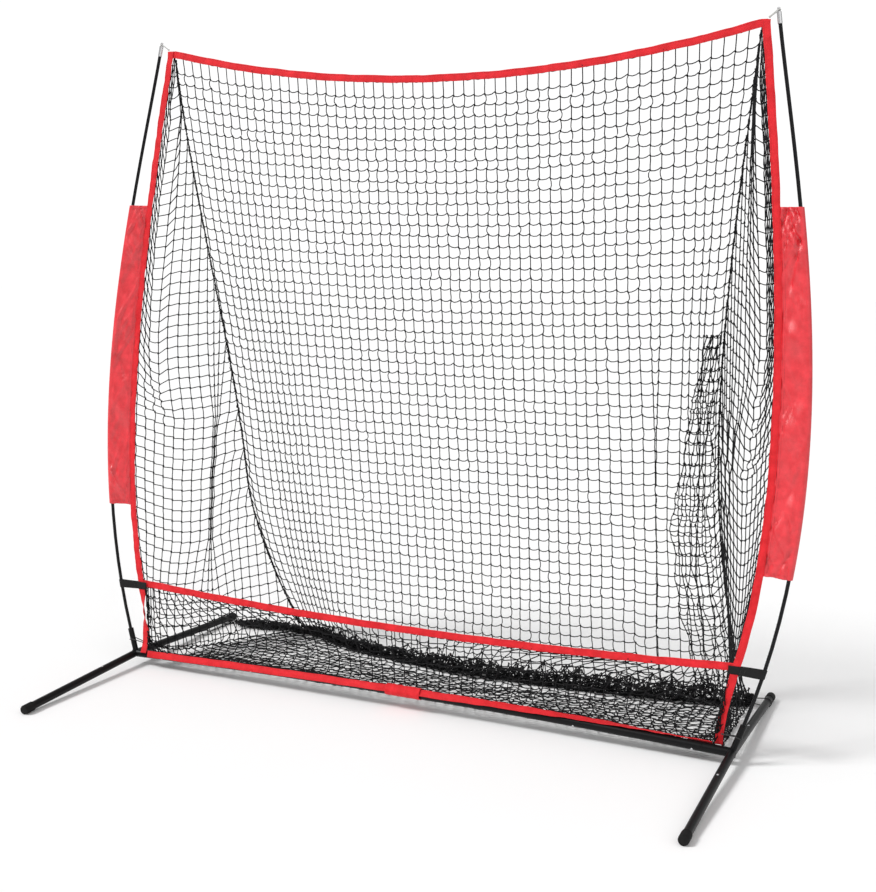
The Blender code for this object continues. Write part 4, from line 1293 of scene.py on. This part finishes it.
def strap_belly(share, z):
    return STRAP_BELLY * np.sin(math.pi * share) * np.sin((z - STRAP_HEIGHT) * 90)


def make_strap(label, side):
    """The webbing between the net's middle corner and the pole."""
    name = "pole_strap_" + label
    z = np.linspace(STRAP_HEIGHT - STRAP_WIDTH / 2, STRAP_HEIGHT + STRAP_WIDTH / 2, 15)
    radius = POLE_RADIUS + TOUCHING + WEBBING
    data, cloth = pole_loop(side, z, radius, STRAP_NOSE, WEBBING, strap_belly)
    piece(name + "_webbing", data, WEBBING_CLOTH, (name,), cloth)
    lines = []
    for face in (-1, 1):
        for inset in STRAP_SEAMS:
            share = share_of_reach(side, z, inset)
            line, out = on_pole_loop(side, z, share, face, radius, STRAP_NOSE, strap_belly)
            lines.append((line[1:-1], out[1:-1]))
    stitches(name + "_stitching", lines, BLACK_THREAD, STRAP_THREAD_RADIUS)
    make_strap_end(name, side)


def make_strap_end(name, side):
    """The strap's sewn end, which lies over the front of the side tape."""
    middle = trim_x(STRAP_HEIGHT)
    x = np.linspace(middle - STRAP_END_INNER, middle + TRIM_WIDTH / 2 + 0.004, 12)
    rings = []
    for place in x:
        slope = STRAP_END_SLOPE * max(0.0, (place - x[-4]) / (x[-1] - x[-4]))
        ring = []
        for rise, face in ((-1, -1), (-0.96, -1.2), (0.96, -1.2), (1, -1), (1, 1), (-1, 1)):
            z = STRAP_HEIGHT + rise * STRAP_WIDTH / 2 * 0.97
            y = trim_y(side, z) - STRAP_END_AHEAD + slope + face * WEBBING / 2
            ring.append((side * place, y, z))
        rings.append(ring if side > 0 else ring[::-1])
    piece(name + "_end", loft(np.array(rings)), WEBBING_CLOTH)


def make_wrap():
    """The hook-and-loop wrap round the middle of the cross tube and the bottom tape."""
    x = np.linspace(-WRAP_LENGTH / 2, WRAP_LENGTH / 2, 61)
    turn = np.linspace(0, math.tau, 48, endpoint=False)
    upward = np.clip(1.4 * np.sin(turn + WRAP_LEAN), 0, 1)
    overlap = np.where((turn > 0.1) & (turn < 1.3), WRAP_OVERLAP, 0.0)
    dent = waves(x, (0.06, 0.023), 0.0008)
    pucker = np.stack([waves(x + 0.008 * angle, (0.035, 0.014), 0.00045) for angle in turn], 1)
    radius = WRAP_RADIUS + WRAP_BULGE * upward + overlap + pucker + dent[:, None] * upward
    layers = []
    for inset in (0.0, WRAP_THICKNESS):
        y = BASE_Y - np.cos(turn) * (radius - inset)
        z = (BRACKET_HEIGHT + arch(x))[:, None] + np.sin(turn) * (radius - inset)
        layers.append(np.stack([np.broadcast_to(x[:, None], y.shape), y, z], -1))
    cloth = uv_grid(x[:, None], turn * 0.02)
    data = loft(np.concatenate([layers[0], layers[1][::-1]]), wrap=True)
    cloth = np.concatenate([cloth, cloth[::-1]])
    made = piece("cross_tube_wrap", data, TAPE, ("centre_wrap",), cloth)


# -------------------- loops

LOOP_SPREAD = 0.45  # half the width of a loop at its point, as a share of its radius
KNOT_SWELL = (0.0010, 0.0022, 0.0029, 0.0027, 0.0024, 0.0027, 0.0029, 0.0022, 0.0010)
KNOT_REACH = 0.0046
CORD_SPACING = 0.0012
REAR_LOOP_LENGTH = 0.058


def loop_path(centre, axis, target, radius):
    """A loop round a bar at centre, drawn out to a point at target."""
    axis = unit(np.array(axis, float))
    out = target - centre
    out = unit(out - axis * (axis @ out))
    across = np.cross(axis, out)
    angles = np.radians(np.linspace(70, 290, 28))[:, None]
    bend = centre + (out * np.cos(angles) + across * np.sin(angles)) * radius
    start = target + across * radius * LOOP_SPREAD
    end = target - across * radius * LOOP_SPREAD
    share = np.linspace(0, 1, 8, endpoint=False)[:, None]
    there = start + (bend[0] - start) * share
    back = (end + (bend[-1] - end) * share)[::-1]
    return np.concatenate([there, bend, back])


def elastic(name, centre, axis, target, bar_radius, material):
    """A loop of covered elastic round a bar, with a knot where its ends meet."""
    path = loop_path(centre, axis, target, bar_radius + TOUCHING + LOOP_RADIUS)
    path = respaced(path, CORD_SPACING)
    turn = np.linspace(0, 1, 10, endpoint=False) * 0.010
    cloth = uv_grid(turn, lengths_along(path)[:, None])
    piece(name + "_cord", tubes(path[None], LOOP_RADIUS, 10), material, (name,), cloth)
    lean = unit(path[0] - path[-1] + UP * 0.0008)
    share = np.linspace(-1, 1, len(KNOT_SWELL))[:, None]
    line = (path[0] + path[-1]) / 2 + lean * share * KNOT_REACH
    knot = tubes(line[None], np.array(KNOT_SWELL)[None], 12)
    cloth = uv_grid(np.linspace(0, 0.016, 12), np.linspace(0, 0.01, len(KNOT_SWELL))[:, None])
    piece(name + "_knot", knot, material, (), cloth)


def make_elastics(label, side):
    """The elastic loops that hold the bag's corners to the pole's tip, the socket and the leg."""
    slope = (pole_x(ROD_TOP + 0.005) - pole_x(ROD_TOP - 0.005)) / 0.010
    tangent = unit(np.array((side * slope, LEAN, 1.0)))
    knob = np.array((side * pole_x(ROD_TOP), pole_y(ROD_TOP), ROD_TOP)) + tangent * TIP_WAIST
    top = np.array((side * TOP_CORNER_X, lean_y(NET_TOP, FRONT_OFFSET), NET_TOP + TAPE_HEAD))
    target = top + unit(knob - top) * (TRIM_WIDTH / 2 - 0.001)
    name = "corner_loop_top_" + label
    elastic(name, knob, tangent, target, WAIST_RADIUS, PALE_ELASTIC)

    socket = unit(np.array((side * SOCKET_SLOPE, LEAN, 1.0)))
    on_socket = bracket(side) + socket * SOCKET_LOOP_REACH
    foot = np.array((side * TRIM_BOTTOM_X, trim_y(side, TRIM_BOTTOM), TRIM_BOTTOM))
    target = foot + unit(on_socket - foot) * (TRIM_WIDTH / 2 - 0.002)
    name = "corner_loop_bottom_" + label
    elastic(name, on_socket, socket, target, SOCKET_RADIUS, BLACK_ELASTIC)

    on_leg, leg = rear_hook(side)
    target = on_leg - np.array((side * REAR_LOOP_LENGTH, 0, 0))
    name = "corner_loop_rear_" + label
    elastic(name, on_leg, leg, target, LEG_RADIUS, BLACK_ELASTIC)


# -------------------- the scene

ROOM_LIGHT = 0.50
ROOM_WHITE = 1.05  # the room as the camera sees it
LAMPS = (  # name, place, strength and softness in degrees
    ("key", (-3.4, -3.0, 4.6), 2.2, 16),
    ("fill", (3.6, -3.4, 3.0), 0.5, 60),
)
CAMERA_PLACE = (1.739, -3.6795, 1.465)
CAMERA_TURN = (24.11, 8.62, 0.87)  # degrees to the left, down and of roll
CAMERA_LENS = 53.42


def make_floor():
    """A wide pale floor, faintly uneven in tone."""
    material, tree, shader = new_material("studio_floor", (0.96, 0.96, 0.96), 0.8, specular=0.1)
    tone = noise(tree, 0.8, 2.0)
    colour_between(tree, shader, tone, (0.955, 0.955, 0.955), (0.97, 0.97, 0.97))
    bpy.ops.mesh.primitive_circle_add(vertices=96, radius=40, fill_type="NGON", location=(0, 0, -0.0005))
    floor = bpy.context.object
    floor.name = "studio_floor"
    floor.data.materials.append(material)


def make_lights():
    """A white room and two soft suns."""
    world = bpy.data.worlds.new("studio")
    bpy.context.scene.world = world
    world.use_nodes = True
    tree = world.node_tree
    background = tree.nodes["Background"]
    background.inputs["Color"].default_value = (1.0, 1.0, 1.0, 1)
    seen = add_node(tree, "ShaderNodeLightPath").outputs["Is Camera Ray"]
    tree.links.new(spread(tree, seen, ROOM_LIGHT, ROOM_WHITE), background.inputs["Strength"])
    for name, place, strength, softness in LAMPS:
        lamp = bpy.data.lights.new(name, "SUN")
        lamp.energy = strength
        lamp.angle = math.radians(softness)
        holder = bpy.data.objects.new(name, lamp)
        bpy.context.scene.collection.objects.link(holder)
        holder.location = place
        holder.rotation_euler = (-Vector(place)).to_track_quat("-Z", "Y").to_euler()


def make_tones():
    """Plain tones, so that the white room stays white and the red stays strong."""
    bpy.context.scene.view_settings.view_transform = "Standard"


def make_camera():
    """A camera to the right of the net, above its middle, looking a little down."""
    heading, pitch, roll = (math.radians(angle) for angle in CAMERA_TURN)
    level = Vector((math.cos(heading), math.sin(heading), 0))
    ahead = (-math.sin(heading) * math.cos(pitch), math.cos(heading) * math.cos(pitch))
    forward = Vector((*ahead, -math.sin(pitch)))
    above = level.cross(forward)
    right = level * math.cos(roll) + above * math.sin(roll)
    up = above * math.cos(roll) - level * math.sin(roll)
    data = bpy.data.cameras.new("camera")
    data.lens = CAMERA_LENS
    data.sensor_width = 36
    camera = bpy.data.objects.new("camera", data)
    bpy.context.scene.collection.objects.link(camera)
    turn = Matrix((right, up, -forward)).transposed()
    camera.matrix_world = Matrix.Translation(CAMERA_PLACE) @ turn.to_4x4()
    bpy.context.scene.camera = camera


dress_hard_parts()
make_bag()
make_lip()
make_tapes()
make_wrap()
for label, side in SIDES.items():
    make_wing(label, side)
    make_seam(label, side)
    make_tuft(label, side)
    make_sleeve(label, side)
    make_strap(label, side)
    make_elastics(label, side)
make_gather()
make_floor()
make_lights()
make_tones()
make_camera()
